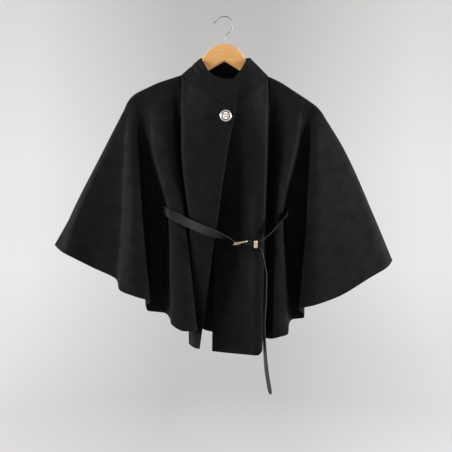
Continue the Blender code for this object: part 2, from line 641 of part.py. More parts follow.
def build_cloth(cloth, parts):
    front, side = front_halves(RIGHT_FRONT, RIGHT_SIDE, right_upper_line, LEFT_NECK_POINT, 2)
    add_cloth("right_front", front, cloth, parts)
    add_cloth("right_side", side, cloth, parts)
    left_turn = COLLAR_END - RIGHT_NECK_POINT
    other, other_side = front_halves(LEFT_FRONT, LEFT_SIDE, left_upper_line, left_turn, 2)
    add_cloth("left_front", other, cloth, parts)
    add_cloth("left_side", other_side, cloth, parts)
    add_cloth("back", back_points(3), cloth, parts)
    add_cloth("collar", collar_points(3), cloth, parts)
    return front


def cloth_depth_at(points, x, z):
    """Depth of the panel's middle surface at the grid point nearest to a place in the front view."""
    flat = points.reshape(-1, 3)
    nearest = np.argmin((flat[:, 0] - x) ** 2 + (flat[:, 2] - z) ** 2)
    return flat[nearest, 1]


def main():
    clear_scene()
    parts = new_collection("cape_on_hanger")
    cutters = new_collection("cutters")
    cloth = new_material("black_cloth", (0.012, 0.012, 0.014), 0.85)
    leather = new_material("black_leather", (0.02, 0.022, 0.026), 0.4)
    gold = new_material("champagne_metal", (0.78, 0.66, 0.44), 0.25, 1.0)
    silver = new_material("silver_metal", (0.8, 0.79, 0.76), 0.2, 1.0)
    wood = new_material("hanger_wood", (0.58, 0.33, 0.1), 0.4)
    steel = new_material("hook_steel", (0.6, 0.6, 0.6), 0.25, 1.0)
    front = build_cloth(cloth, parts)
    build_belt(leather, gold, parts, cutters)
    build_button(silver, parts, cloth_depth_at(front, *BUTTON_AT))
    build_hanger(wood, steel, parts)


main()
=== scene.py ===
"""Looks of a wrap-front cape on a wooden hanger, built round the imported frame.

Run as a script. Tables are in millimetres, in the frame's own axes: +Z up, the front faces -Y. Left and right
are as the camera sees them, but the fronts and side pieces have the wearer's right and left.
"""

import math
from collections import namedtuple

import bmesh
import bpy
import numpy as np
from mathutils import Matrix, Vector


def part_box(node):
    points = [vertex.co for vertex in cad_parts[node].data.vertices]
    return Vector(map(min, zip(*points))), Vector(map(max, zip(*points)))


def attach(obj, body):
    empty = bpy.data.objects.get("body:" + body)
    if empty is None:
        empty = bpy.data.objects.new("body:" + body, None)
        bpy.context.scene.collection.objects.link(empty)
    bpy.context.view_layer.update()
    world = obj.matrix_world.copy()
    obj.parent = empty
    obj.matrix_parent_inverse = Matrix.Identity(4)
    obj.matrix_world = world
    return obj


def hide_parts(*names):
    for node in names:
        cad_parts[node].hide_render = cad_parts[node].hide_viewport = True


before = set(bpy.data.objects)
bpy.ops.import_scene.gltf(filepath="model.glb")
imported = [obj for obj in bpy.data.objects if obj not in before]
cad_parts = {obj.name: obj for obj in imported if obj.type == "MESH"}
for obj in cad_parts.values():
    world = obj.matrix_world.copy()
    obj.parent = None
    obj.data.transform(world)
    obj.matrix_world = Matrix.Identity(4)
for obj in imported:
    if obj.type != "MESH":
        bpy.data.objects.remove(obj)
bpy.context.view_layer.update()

bl_info = {
    "name": "Cape on hanger",
    "version": (1, 0, 0),
    "blender": (4, 5, 0),
    "location": "3D View > Sidebar > Cape",
    "description": "Builds a black wrap cape with collar, belt and button on a wooden hanger",
    "category": "Object",
}

BODY = "root"
MM = 0.001

# Sizes and tables that repeat the part's source

LEFT_NECK_POINT, RIGHT_NECK_POINT, COLLAR_END = 6, 10, 15
SHOULDER_RUNS_LEFT, SHOULDER_RUNS_RIGHT = 6, 5
SLIT_SEAM_HALF_GAP, SEAM_LIP = 0.3, 1.6
CHEST_Z, WAIST_Z = -335.0, -496.0
SLIT_TOP_Z, SLIT_FOOT_Z, SLIT_OPEN = -422.0, -640.0, 9.0

CollarRib = namedtuple("CollarRib", "name base top")
COLLAR = (
    CollarRib("over end", (30, -62, -240), (38, -46, -173)),
    CollarRib("over a", (18, -61, -237), (24, -46, -167)),
    CollarRib("over b", (0, -59, -225), (3, -43, -165)),
    CollarRib("over c", (-26, -54, -214), (-19, -36, -157)),
    CollarRib("front left", (-41, -49, -208), (-37, -27, -142)),
    CollarRib("side left", (-81, -26, -178), (-52, -14, -116)),
    CollarRib("left neck point", (-105, 0, -146), (-60, 6, -103)),
    CollarRib("back left", (-88, 30, -133), (-48, 25, -97)),
    CollarRib("back", (0, 42, -128), (2, 32, -96)),
    CollarRib("back right", (88, 30, -135), (51, 25, -97)),
    CollarRib("right neck point", (109, 0, -149), (65, 6, -101)),
    CollarRib("side right", (90, -26, -181), (57, -10, -110)),
    CollarRib("front right", (63, -42, -206), (40, -23, -139)),
    CollarRib("under a", (34, -48, -225), (21, -34, -163)),
    CollarRib("under b", (0, -48, -235), (0, -33, -177)),
    CollarRib("under end", (-29, -45, -242), (-27, -27, -181)),
)

LEFT_SHOULDER = (
    (-105, -146), (-132, -155), (-162, -165), (-193, -179), (-222, -194), (-236, -208), (-245, -225),
)
RIGHT_SHOULDER = (
    (109, -149), (140, -164), (176, -187), (211, -210), (232, -226), (246, -243),
)

# Each side piece goes on from the last rib of its front
Rib = namedtuple("Rib", "name start rounding chest waist hem")
RIGHT_FRONT = (
    Rib("front edge", 0.0, 0, (10, -65), (-13, -68), (-59, -52, -819)),
    Rib("face a", 2.0, 0, (-26, -64), (-38, -67), (-62, -48, -820)),
    Rib("face b", 4.0, 0, (-62, -62), (-63, -65), (-65, -43, -820)),
    Rib("crest e", 5.3, 0, (-99, -55), (-83, -59), (-69, -39, -820)),
    Rib("wall d", 5.8, 6, (-103, -34), (-90, -36), (-79, -20, -819)),
    Rib("turn d", 6.2, 10, (-108, -14), (-94, -18), (-87, 6, -817)),
    Rib("back of c", 6.6, 10, (-112, -20), (-95, -30), (-80, -24, -794)),
    Rib("right of c", 7.0, 10, (-116, -34), (-95, -54), (-63, -64, -774)),
    Rib("crest c", 8.0, 10, (-140, -40), (-112, -64), (-95, -78, -772)),
    Rib("left of c", 8.7, 10, (-168, -34), (-131, -60), (-124, -68, -758)),
    Rib("arm slit", 9.1, 10, (-178, -20), (-138, -32), (-132, -30, -749)),
)
RIGHT_SIDE = (
    Rib("right of b", 9.4, 10, (-189, -10), (-154, -9), (-147, -6, -739)),
    Rib("left of b", 9.7, 10, (-204, -8), (-193, -5), (-191, -4, -733)),
    Rib("back of a", 9.9, 10, (-212, -18), (-203, -24), (-192, -26, -718)),
    Rib("right of a", 10.1, 10, (-211, -29), (-198, -53), (-177, -64, -704)),
    Rib("crest a", 10.4, 10, (-225, -33), (-217, -63), (-212, -75, -690)),
    Rib("left of a", 10.7, 10, (-238, -29), (-236, -54), (-250, -60, -676)),
    Rib("turn w", 11.0, 10, (-246, -19), (-252, -28), (-264, -26, -654)),
    Rib("wing a", 11.3, 9, (-268, -15), (-306, -24), (-326, -20, -624)),
    Rib("wing b", 11.6, 6, (-289, -13), (-358, -26), (-388, -26, -592)),
    Rib("side", 12.0, 0, (-301, -1.6), (-382, -1.6), (-416, -1.6, -578)),
)
LEFT_FRONT = (
    Rib("front edge", 0.0, 0, (-27, -44), (-25, -27), (-29, -35, -828)),
    Rib("face a", 1.0, 0, (12, -46), (15, -33), (15, -44, -831)),
    Rib("face b", 2.0, 0, (54, -53), (54, -50), (54, -56, -832)),
    Rib("face c", 3.3, 0, (86, -55), (79, -63), (79, -66, -832)),
    Rib("crest f", 4.4, 0, (101, -52), (94, -62), (91, -62, -822)),
    Rib("back of f", 4.8, 6, (106, -26), (102, -30), (95, -26, -803)),
    Rib("turn g", 5.2, 10, (113, -10), (109, -12), (105, -6, -802)),
    Rib("left of h", 5.9, 10, (128, -26), (117, -34), (114, -40, -797)),
    Rib("crest h", 6.7, 10, (148, -36), (129, -51), (128, -62, -790)),
    Rib("right of h", 7.4, 10, (172, -33), (142, -46), (154, -52, -783)),
    Rib("arm slit", 7.7, 10, (182, -20), (148, -27), (159, -27, -764)),
)
LEFT_SIDE = (
    Rib("left of i", 8.0, 10, (193, -10), (163, -8), (170, -6, -755)),
    Rib("right of i", 8.3, 10, (207, -8), (196, -5), (199, -4, -751)),
    Rib("back of j", 8.5, 10, (214, -18), (205, -24), (197, -24, -739)),
    Rib("left of j", 8.7, 10, (212, -30), (202, -50), (181, -56, -723)),
    Rib("crest j", 8.9, 10, (226, -32), (222, -55), (218, -64, -712)),
    Rib("wing a", 9.2, 10, (250, -26), (268, -45), (278, -53, -692)),
    Rib("wing b", 9.5, 9, (274, -18), (326, -30), (356, -36, -649)),
    Rib("wing c", 9.8, 6, (290, -11), (360, -20), (402, -23, -624)),
    Rib("side", 10.0, 0, (301, -1.6), (373, -1.6), (420, -1.6, -609)),
)
BACK = (
    Rib("left side", 0.0, 0, (-301, 1.6), (-382, 1.6), (-416, 1.6, -578)),
    Rib("left bulge", 0.4, 6, (-302, 9), (-384, 11), (-426, 12, -570)),
    Rib("fold a", 1.0, 9, (-278, 18), (-344, 27), (-378, 36, -594)),
    Rib("hollow b", 1.6, 10, (-248, 17), (-290, 24), (-312, 30, -622)),
    Rib("fold c", 2.2, 10, (-216, 24), (-236, 38), (-248, 54, -668)),
    Rib("hollow d", 3.2, 10, (-180, 20), (-186, 26), (-192, 33, -702)),
    Rib("fold e", 4.4, 10, (-140, 27), (-138, 44), (-138, 60, -734)),
    Rib("hollow f", 5.6, 10, (-95, 28), (-88, 32), (-86, 36, -768)),
    Rib("fold g", 7.0, 0, (-48, 37), (-40, 48), (-38, 61, -796)),
    Rib("hollow h", 8.2, 0, (6, 40), (12, 38), (14, 38, -801)),
    Rib("fold i", 9.2, 0, (56, 36), (64, 48), (66, 62, -797)),
    Rib("hollow j", 10.5, 12, (100, 27), (112, 32), (116, 36, -782)),
    Rib("fold k", 11.4, 10, (142, 26), (160, 42), (166, 58, -748)),
    Rib("hollow l", 12.2, 10, (184, 20), (210, 27), (222, 33, -714)),
    Rib("fold m", 13.0, 10, (222, 23), (262, 36), (284, 50, -688)),
    Rib("hollow n", 13.8, 9, (258, 17), (316, 24), (350, 30, -650)),
    Rib("right bulge", 14.5, 6, (288, 10), (356, 14), (398, 16, -624)),
    Rib("right side", 15.0, 0, (301, 1.6), (373, 1.6), (420, 1.6, -609)),
)

BeltPoint = namedtuple("BeltPoint", "name x y z tilt turn")
BELT = (
    BeltPoint("folded end", 66, -82, -563.4, 90, 0),
    BeltPoint("under bar", 58, -82, -562.4, 90, 0),
    BeltPoint("bar foot", 54, -82, -561.3, 90, 0),
    BeltPoint("bar side", 51.2, -82, -558.5, 90, 0),
    BeltPoint("bar head", 54, -82, -555.7, 90, 0),
    BeltPoint("over bar", 60, -82, -557.6, 90, 0),
    BeltPoint("keeper in", 68, -82, -559.5, 90, 0),
    BeltPoint("keeper out", 82, -82, -559.3, 90, 0),
    BeltPoint("right run a", 96, -80, -552, 90, 0),
    BeltPoint("right run b", 112, -76, -539, 90, 0),
    BeltPoint("right run c", 128, -68, -521.5, 88, 0),
    BeltPoint("right wrap a", 140.5, -62, -508, 80, 0),
    BeltPoint("right wrap b", 150.5, -52.5, -498, 55, 0),
    BeltPoint("right turn", 155, -41, -491, 15, 0),
    BeltPoint("right slit", 151, -28.5, -488, 0, 0),
    BeltPoint("right inside", 141, -25, -486, 0, 0),
    BeltPoint("back right", 112, -8, -483, 0, 0),
    BeltPoint("back a", 58, 10, -480, 0, 0),
    BeltPoint("back b", 0, 14, -479, 0, 0),
    BeltPoint("back c", -58, 10, -478, 0, 0),
    BeltPoint("back left", -104, -10, -478, 0, 0),
    BeltPoint("left inside", -131, -28, -481, 0, 0),
    BeltPoint("left slit", -145, -33.5, -482, 0, 0),
    BeltPoint("left turn", -145, -43, -483, 0, 0),
    BeltPoint("left wrap b", -140.5, -54, -486, 4, 0),
    BeltPoint("left wrap a", -133, -63.5, -491, 6, 0),
    BeltPoint("left run a", -112, -67.8, -502.5, 0, 0),
    BeltPoint("left run b", -80, -70, -518, 0, 0),
    BeltPoint("left run c", -46, -73, -532.5, 6, 0),
    BeltPoint("left run d", -14, -76.4, -543.5, 36, 0),
    BeltPoint("left run e", 8, -81, -549.8, 78, 0),
    BeltPoint("over frame", 26, -82, -559.2, 90, 0),
    BeltPoint("under loop", 54, -82, -564.9, 90, 0),
    BeltPoint("tail in keeper", 72, -82, -567.4, 90, 0),
    BeltPoint("tail out", 82, -82, -571, 90, 0),
    BeltPoint("tail bend", 90, -82, -584, 90, 0),
    BeltPoint("tail a", 95, -82, -608, 90, 4),
    BeltPoint("tail b", 100, -82, -640, 90, 6),
    BeltPoint("tail c", 99, -82, -698, 90, 8),
    BeltPoint("tail d", 95, -82, -760, 90, 12),
    BeltPoint("tail e", 97, -81, -816, 90, 18),
    BeltPoint("tail f", 101, -80, -864, 90, 24),
    BeltPoint("tail tip", 110, -79, -921, 90, 26),
)
BELT_TIP_LONG = 14.0
BUCKLE_Y = -82.0
HINGE_BAR, FAR_BAR = (54.0, -558.5), (26.0, -563.0)
BUCKLE_HALF_WIDE, BUCKLE_WIRE, HINGE_WIRE = 13.2, 1.8, 1.1
PRONG_WIRE = 1.2
PRONG = ((-4.5, -3.4), (0.0, -3.3), (8.0, -2.6), (15.0, 0.6), (21.0, 3.4))
PRONG_SLOT_LOW, PRONG_SLOT_HIGH = (36.0, BUCKLE_Y - 1.8, -575.0), (57.0, BUCKLE_Y + 1.8, -550.0)

HEAD_LEFT = (
    (1.5, -67), (-12, -69), (-24, -74), (-38, -84), (-48, -96), (-55, -107.5), (-66, -125), (-79, -143),
    (-94, -154), (-112, -159.5), (-136, -162.5),
)
HEAD_RIGHT = (
    (16, -69.5), (27, -74), (41, -87), (50, -99), (57, -110.5), (68, -128), (81, -146), (97, -159),
    (116, -165), (138, -168.5),
)
UNDERSIDE = (
    (-226, -221), (-215, -217), (-160, -195), (-106, -175), (-80, -160), (-38, -134), (-16, -121),
    (1.5, -113), (18, -121), (41, -135), (84, -162), (110, -179), (140, -193), (176, -213),
    (211, -234), (221, -240),
)
HANGER_THICK, HANGER_BEVEL, HANGER_UNDER_CLOTH = 12.0, 5.6, 1.8
LEFT_END, RIGHT_END = (-232, -214), (229, -234)
HOOK = (
    (1.5, -66), (2.5, -53), (8, -43.5), (16, -35.5), (20.8, -21), (20.5, -11.5), (14.3, -3.6),
    (7, 0.6), (0, 1.4), (-8, -0.8), (-14.3, -5.3), (-20.8, -12.2), (-28, -15.8),
)
HOOK_WIRE, HOOK_START_GAP = 1.4, 0.3

# Seams, drawn closer together than the part's, and small forms that only the looks have

SEAM_HALF_GAP = 0.03
COLLAR_GAP, NECK_POINT_GAP, NECK_POINT_REACH = 0.1, 0.9, 12.0
NECK_TUCK, NECK_TUCK_REACH = 1.1, 4.0
SEAM_TURN = ((3.2, -5.0), (3.1, -1.6), (2.2, 0.2), (0.9, 0.1))
AT_POINT = 0.01

BUCKLE_CORNER = 3.0
KEEPER_WALL, KEEPER_CORNER, KEEPER_SHARE = 1.6, 1.8, 0.76
INSIDE_RIM, RIM_GROOVE = 10.7, 10.5
HANGER_END_ROUND = 7.0

# The grids: rows near a panel's top, the fewest columns between ribs, the runs that set the count of rows
# below, the belt's step and the hanger's columns
NEAR_TOP = np.array([0.0, 0.6, 1.3, 2.2, 3.2, 4.5, 6.0, 8.0, 10.0, 13.0, 16.0, 19.0, 22.0])
FEWEST_COLUMNS = 6
TOP_TO_CHEST, WAIST_TO_HEM = 150.0, 300.0
BELT_STEP = 1.6
HANGER_COLUMNS = 420

# The belt's painted light: a painted highlight left of the buckle, a painted highlight on the tail, and where
# painted shade near the slits begins
LEFT_RUN_HIGHLIGHT_X, LEFT_RUN_HIGHLIGHT_HALF_LONG = -68.0, 36.0
TAIL_HIGHLIGHT_Z, TAIL_HIGHLIGHT_LONG, TAIL_HIGHLIGHT_AS_EDGE = -720.0, 90.0, 0.92
CLEAR_OF_SHADE_HALF_LONG, SLIT_SHADE_FADE = 122.0, 12.0

TARNISH = (0.03, 0.027, 0.024)
STEEL, DULL_STEEL = (0.36, 0.36, 0.36), (0.24, 0.24, 0.24)

# The stage, in metres and watts
FLOOR_RADIUS, WALL_BEND = 2.8, 1.4
LIT_PLACE = (0.0, 0.0, -0.5)
BEHIND_POWER = 26.0
SENSOR_WIDE = 36.0
VIEW_WIDE, VIEW_X, VIEW_Z = 1.13, 0.005, -0.5225

Crease = namedtuple("Crease", "name x1 z1 x2 z2 wide high")
COLLAR_CREASES = (
    Crease("ruffle a", -83, -118, -66, -152, 4.0, 1.3),
    Crease("ruffle b", -74, -116, -56, -150, 3.6, -1.2),
    Crease("ruffle c", -66, -118, -50, -146, 3.6, 1.0),
    Crease("level a", -48, -172, 4, -177, 5.0, 0.8),
    Crease("level b", -44, -182, 8, -188, 5.0, -0.9),
    Crease("level c", -36, -193, 14, -199, 6.0, 0.7),
    Crease("trough", -46, -206, 24, -236, 7.0, -1.6),
    Crease("trough lip", -40, -198, 28, -226, 6.0, 1.1),
    Crease("right level", 46, -150, 78, -178, 7.0, -0.9),
)
RIGHT_FRONT_CREASES = (
    Crease("shoulder tick", -72, -198, -67, -223, 4.0, 1.2),
    Crease("shoulder fold", -101, -162, -96, -292, 6.0, 1.4),
    Crease("button pull a", -6, -262, -60, -288, 9.0, -1.2),
    Crease("button pull b", -4, -252, -52, -252, 8.0, 1.0),
    Crease("button pull c", 2, -272, -30, -330, 9.0, -0.9),
    Crease("belt press", -120, -486, -20, -530, 12.0, -1.6),
)
LEFT_FRONT_CREASES = (
    Crease("under button", 24, -268, 70, -300, 10.0, -0.9),
    Crease("belt press", 60, -566, 126, -520, 12.0, -1.2),
)

# The cut of each piece of cloth before it was hung: width, length, area
Cut = namedtuple("Cut", "wide long area")



# Curves

def slopes_of(knots, values):
    """Slopes at the knots by a weighted harmonic mean, so that the cubic never overshoots."""
    run = np.diff(knots, axis=0)
    rise = np.diff(values, axis=0) / run
    slopes = np.empty_like(values, dtype=float)
    before, after = rise[:-1], rise[1:]
    weight_a, weight_b = 2 * run[1:] + run[:-1], run[1:] + 2 * run[:-1]
    same = before * after > 0
    safe_before, safe_after = np.where(same, before, 1.0), np.where(same, after, 1.0)
    mean = (weight_a + weight_b) / (weight_a / safe_before + weight_b / safe_after)
    slopes[1:-1] = np.where(same, mean, 0.0)
    slopes[0], slopes[-1] = rise[0], rise[-1]
    return slopes


def hermite(start, end, slope_start, slope_end, run, share):
    """Cubic from start to end over a run, at shares from 0 to 1."""
    a = 2 * share**3 - 3 * share**2 + 1
    b = share**3 - 2 * share**2 + share
    c = -2 * share**3 + 3 * share**2
    d = share**3 - share**2
    return a * start + b * slope_start * run + c * end + d * slope_end * run


def through(values, at, knots=None):
    """Smooth curve through rows, read at the given places. Its knots are 0, 1, 2 and so on, or are given."""
    values = np.asarray(values, float)
    at = np.atleast_1d(np.asarray(at, float))
    knots = np.arange(len(values), dtype=float) if knots is None else knots
    column = (-1,) + (1,) * (values.ndim - 1)
    slopes = slopes_of(knots.reshape(column), values)
    low = np.clip(np.searchsorted(knots, at, side="right") - 1, 0, len(values) - 2)
    run = (knots[low + 1] - knots[low]).reshape(column)
    share = (at - knots[low]).reshape(column) / run
    return hermite(values[low], values[low + 1], slopes[low], slopes[low + 1], run, share)


def even_path(rows, step):
    """Rows read along a smooth curve at an even step of its length; the first three are x, y, z."""
    dense = np.linspace(0, len(rows) - 1, len(rows) * 24)
    fine = through(rows, dense)
    length = np.concatenate([[0], np.cumsum(np.linalg.norm(np.diff(fine[:, :3], axis=0), axis=1))])
    places = np.linspace(0, length[-1], max(int(length[-1] / step), 8))
    return through(rows, np.interp(places, length, dense)), places


def unit(vectors):
    return vectors / np.linalg.norm(vectors, axis=-1, keepdims=True)


def ease(share):
    share = np.clip(share, 0, 1)
    return share * share * (3 - 2 * share)


def quarter_round(share):
    """0 to 1 along a quarter circle."""
    return np.sqrt(1 - (1 - np.clip(share, 0, 1)) ** 2)


def neckline(station):
    return through([rib.base for rib in COLLAR], station)


def shoulder(rows, place):
    flat = through(rows, place)
    return np.column_stack([flat[:, 0], np.zeros(len(flat)), flat[:, 1]])


def front_upper_line(start, first_station, neck_point, shoulder_rows):
    """A front: the neckline from a station of the collar up to the neck point, then along the shoulder."""
    turn = abs(neck_point - first_station)
    on_neck = first_station + math.copysign(1, neck_point - first_station) * np.minimum(start, turn)
    along_shoulder = shoulder(shoulder_rows, np.maximum(start - turn, 0))
    return np.where((start <= turn)[:, None], neckline(on_neck), along_shoulder)


def back_upper_line(start):
    """Back: up one shoulder, along the back of the neck and down the other shoulder."""
    left = shoulder(LEFT_SHOULDER, np.clip(SHOULDER_RUNS_LEFT - start, 0, SHOULDER_RUNS_LEFT))
    neck = neckline(np.clip(start, LEFT_NECK_POINT, RIGHT_NECK_POINT))
    right = shoulder(RIGHT_SHOULDER, np.clip(start - RIGHT_NECK_POINT, 0, SHOULDER_RUNS_RIGHT))
    upper = np.where((start < LEFT_NECK_POINT)[:, None], left, neck)
    return np.where((start > RIGHT_NECK_POINT)[:, None], right, upper)


# Cloth surfaces

def rib_places(ribs, spacing):
    """Places between the ribs, closer together where the cloth runs further."""
    low = np.array([rib.hem[:2] for rib in ribs], float)
    middle = np.array([rib.waist for rib in ribs], float)
    reach = np.maximum(*(np.linalg.norm(np.diff(row, axis=0), axis=1) for row in (low, middle)))
    counts = np.maximum(np.ceil(reach / spacing).astype(int), FEWEST_COLUMNS)
    steps = [start + np.arange(count) / count for start, count in enumerate(counts)]
    return np.concatenate(steps + [[len(ribs) - 1.0]])


def along_ribs(ribs, places, name):
    """A number of the ribs, read between them."""
    return np.interp(places, np.arange(len(ribs)), [getattr(rib, name) for rib in ribs])


def panel_points(ribs, places, top, outward, row_step):
    """Rows by columns of a panel: each column is a cubic from its top through chest and waist to the hem,
    with a quarter-round over the shoulder."""
    rounding = along_ribs(ribs, places, "rounding")
    chest = through([rib.chest for rib in ribs], places)
    waist = through([rib.waist for rib in ribs], places)
    hem = through([rib.hem for rib in ribs], places)
    levels = np.array([top[:, 2], np.full(len(top), CHEST_Z), np.full(len(top), WAIST_Z), hem[:, 2]])
    across = np.array([row[:, 0] for row in (top, chest, waist, hem)])
    depth = np.array([row[:, 1] for row in (top, chest, waist, hem)])
    across_slope = slopes_of(levels, across)
    depth_slope = slopes_of(levels[1:], depth[1:])
    run = levels[1] - levels[0]
    steps = math.ceil(TOP_TO_CHEST / row_step)
    more = (np.arange(steps) + 1)[:, None] / steps
    near = np.broadcast_to(NEAR_TOP[:, None], (len(NEAR_TOP), len(top)))
    down = np.concatenate([near, NEAR_TOP[-1] + (-run - NEAR_TOP[-1]) * more])
    share = down / -run
    x = hermite(across[0], across[1], across_slope[0], across_slope[1], run, share)
    round_over = outward * rounding * quarter_round(down / np.maximum(rounding, 1e-6))
    left = depth[1] - depth[0] - outward * rounding
    y = depth[0] + round_over + hermite(0.0, left, 0.0, depth_slope[0], run, share)
    blocks = [np.stack([x, y, levels[0] - down], axis=-1)]
    for part, steps in ((1, int((CHEST_Z - WAIST_Z) / row_step)), (2, math.ceil(WAIST_TO_HEM / row_step))):
        run = levels[part + 1] - levels[part]
        share = (np.arange(steps) + 1)[:, None] / steps
        x = hermite(across[part], across[part + 1], across_slope[part], across_slope[part + 1], run, share)
        y = hermite(depth[part], depth[part + 1], depth_slope[part - 1], depth_slope[part], run, share)
        blocks.append(np.stack([x, y, levels[part] + run * share], axis=-1))
    return np.concatenate(blocks)


def add_top_lip(points, on_shoulder, outward):
    """A short first row: straight back at a shoulder seam, straight up under the collar."""
    lip = points[0].copy()
    second = points[0].copy()
    lip[:, 1] += np.where(on_shoulder, outward * SEAM_HALF_GAP, 0)
    second[:, 1] += np.where(on_shoulder, outward * SEAM_LIP, 0)
    second[:, 2] -= np.where(on_shoulder, 0, NEAR_TOP[1] / 2)
    below = points[1:].copy()
    below[:, :, 1] = outward * np.maximum(below[:, :, 1] * outward, SEAM_LIP)
    return np.concatenate([lip[None], second[None], below])


def side_lips(column, neighbour, outward):
    """The side column and the seam edge beside it, which runs straight back to the side seam."""
    edge = column.copy()
    edge[:, 1] = outward * SEAM_HALF_GAP
    edge[1] = (edge[0] + edge[2]) / 2
    inner = column.copy()
    inward = neighbour[0] - column[0]
    inner[:2] += inward * SEAM_LIP / np.linalg.norm(inward)
    return np.stack([inner, edge], axis=1)


def slit_width(z):
    """How far each edge of the arm slit stands back from the seam line at a height: a raised sine."""
    share = np.clip((z - SLIT_FOOT_Z) / (SLIT_TOP_Z - SLIT_FOOT_Z), 0, 1)
    return SLIT_OPEN * np.sin(math.pi * share) ** 2


def towards_neck(points):
    """Level unit vectors from points to the line through the middle of the neck."""
    return unit(points * (-1.0, -1.0, 0.0))


def tuck_neck(points, on_neck):
    """The neck edge eased inwards behind the collar: most at the edge, nothing past the tuck's reach."""
    down = np.linalg.norm(points - points[:1], axis=-1)
    depth = NECK_TUCK * (1 - ease(down / NECK_TUCK_REACH)) * on_neck[None]
    return points + towards_neck(points) * depth[..., None]


def front_halves(front_ribs, side_ribs, first_station, neck_point, shoulder_rows, step):
    """A front and its side piece, parted along the arm-slit seam. The cloth beside the seam is drawn back
    from it, all of the slit's width at the edge and none one rib away."""
    whole = front_ribs + side_ribs
    seam_place = len(front_ribs) - 1
    places = rib_places(whole, step)
    start = along_ribs(whole, places, "start")
    top = front_upper_line(start, first_station, neck_point, shoulder_rows)
    on_neck = start <= abs(neck_point - first_station) - AT_POINT
    points = tuck_neck(add_top_lip(panel_points(whole, places, top, -1, step), ~on_neck, -1), on_neck)
    seam = int(np.argmin(np.abs(places - seam_place)))
    tangent = unit(points[:, seam + 2] - points[:, seam - 2])[:, None]
    apart = (slit_width(points[:, seam, 2]) + SLIT_SEAM_HALF_GAP)[:, None, None]
    beside = ease(1 - np.abs(places - seam_place))[None, :, None]
    front = (points - tangent * apart * beside)[:, :seam + 1]
    side = (points + tangent * apart * beside)[:, seam:]
    return front, np.concatenate([side[:, :-1], side_lips(side[:, -1], side[:, -2], -1)], axis=1)


def back_points(spacing, row_step):
    places = rib_places(BACK, spacing)
    start = along_ribs(BACK, places, "start")
    on_neck = (start > LEFT_NECK_POINT + AT_POINT) & (start < RIGHT_NECK_POINT - AT_POINT)
    points = panel_points(BACK, places, back_upper_line(start), 1, row_step)
    points = tuck_neck(add_top_lip(points, ~on_neck, 1), on_neck)
    left = side_lips(points[:, 0], points[:, 1], 1)[:, ::-1]
    right = side_lips(points[:, -1], points[:, -2], 1)
    return np.concatenate([left, points[:, 1:-1], right], axis=1)


def collar_points(steps, rows):
    """The band from its base ring on the neckline straight up to its top ring. Below the base its seam turns
    inwards and down, behind the fronts and back."""
    stations = np.linspace(0, COLLAR_END, COLLAR_END * steps + 1)
    base = neckline(stations)
    top = through([rib.top for rib in COLLAR], stations)
    base[:, 2] += COLLAR_GAP + NECK_POINT_GAP * np.exp(-((base[:, 1] / NECK_POINT_REACH) ** 2))
    turned = [base + towards_neck(base) * inward + (0.0, 0.0, up) for inward, up in SEAM_TURN]
    share = np.linspace(0, 1, rows)[:, None, None]
    return np.concatenate([turned, base + (top - base) * share])


def normals_of(points):
    """Unit normals of a grid, from the cross product of its two directions."""
    cross = np.cross(np.gradient(points, axis=1), np.gradient(points, axis=0))
    return cross / np.maximum(np.linalg.norm(cross, axis=-1, keepdims=True), 1e-9)


def lengths_run(points):
    """How far each point of a grid lies from its first column and from its first row, along the cloth."""
    across = np.linalg.norm(np.diff(points, axis=1, prepend=points[:, :1]), axis=-1)
    along = np.linalg.norm(np.diff(points, axis=0, prepend=points[:1]), axis=-1)
    return np.cumsum(across, axis=1), np.cumsum(along, axis=0)


def soft_waves(across, along, seed):
    """Slow unevenness of hung cloth: five crossed sine waves of 60 to 190 mm, long in the hanging way."""
    rng = np.random.default_rng(seed)
    lengths = rng.uniform(60, 190, 5)
    phases = rng.uniform(0, 2 * math.pi, (2, 5))
    waves = [
        np.sin(across * 2 * math.pi / length + phase_a) * np.sin(along * math.pi / (1.9 * length) + phase_b)
        for length, phase_a, phase_b in zip(lengths, *phases)
    ]
    return np.sum(waves, axis=0) / len(lengths)


def crease_height(points, creases):
    """Sum of ridges: each is a bell across its line in the front view, tapering to both ends."""
    total = np.zeros(points.shape[:2])
    place = points[..., [0, 2]]
    for crease in creases:
        start = np.array((crease.x1, crease.z1), float)
        line = np.array((crease.x2, crease.z2), float) - start
        share = ((place - start) @ line) / (line @ line)
        nearest = start + np.clip(share, 0, 1)[..., None] * line
        away = np.linalg.norm(place - nearest, axis=-1)
        taper = np.sin(math.pi * np.clip(0.08 + 0.84 * share, 0, 1)) ** 0.7
        total += crease.high * taper * np.exp(-((away / crease.wide) ** 2))
    return total


def dress(points, outward_sign, creases, wave_high, fade, seed):
    """The grid moved along its normals by its creases and slow waves, all of it a fade's reach from its edges
    and none at them, and its place on the cut cloth."""
    across, along = lengths_run(points)
    from_sides = np.minimum(across, across[:, -1:] - across)
    from_ends = np.minimum(along, along[-1:] - along)
    fading = ease(np.minimum(from_sides, from_ends) / fade)
    lift = crease_height(points, creases) + wave_high * soft_waves(across, along, seed)
    moved = points + normals_of(points) * (outward_sign * lift * fading)[..., None]
    return moved, np.stack([across, along], axis=-1) * MM


# Meshes

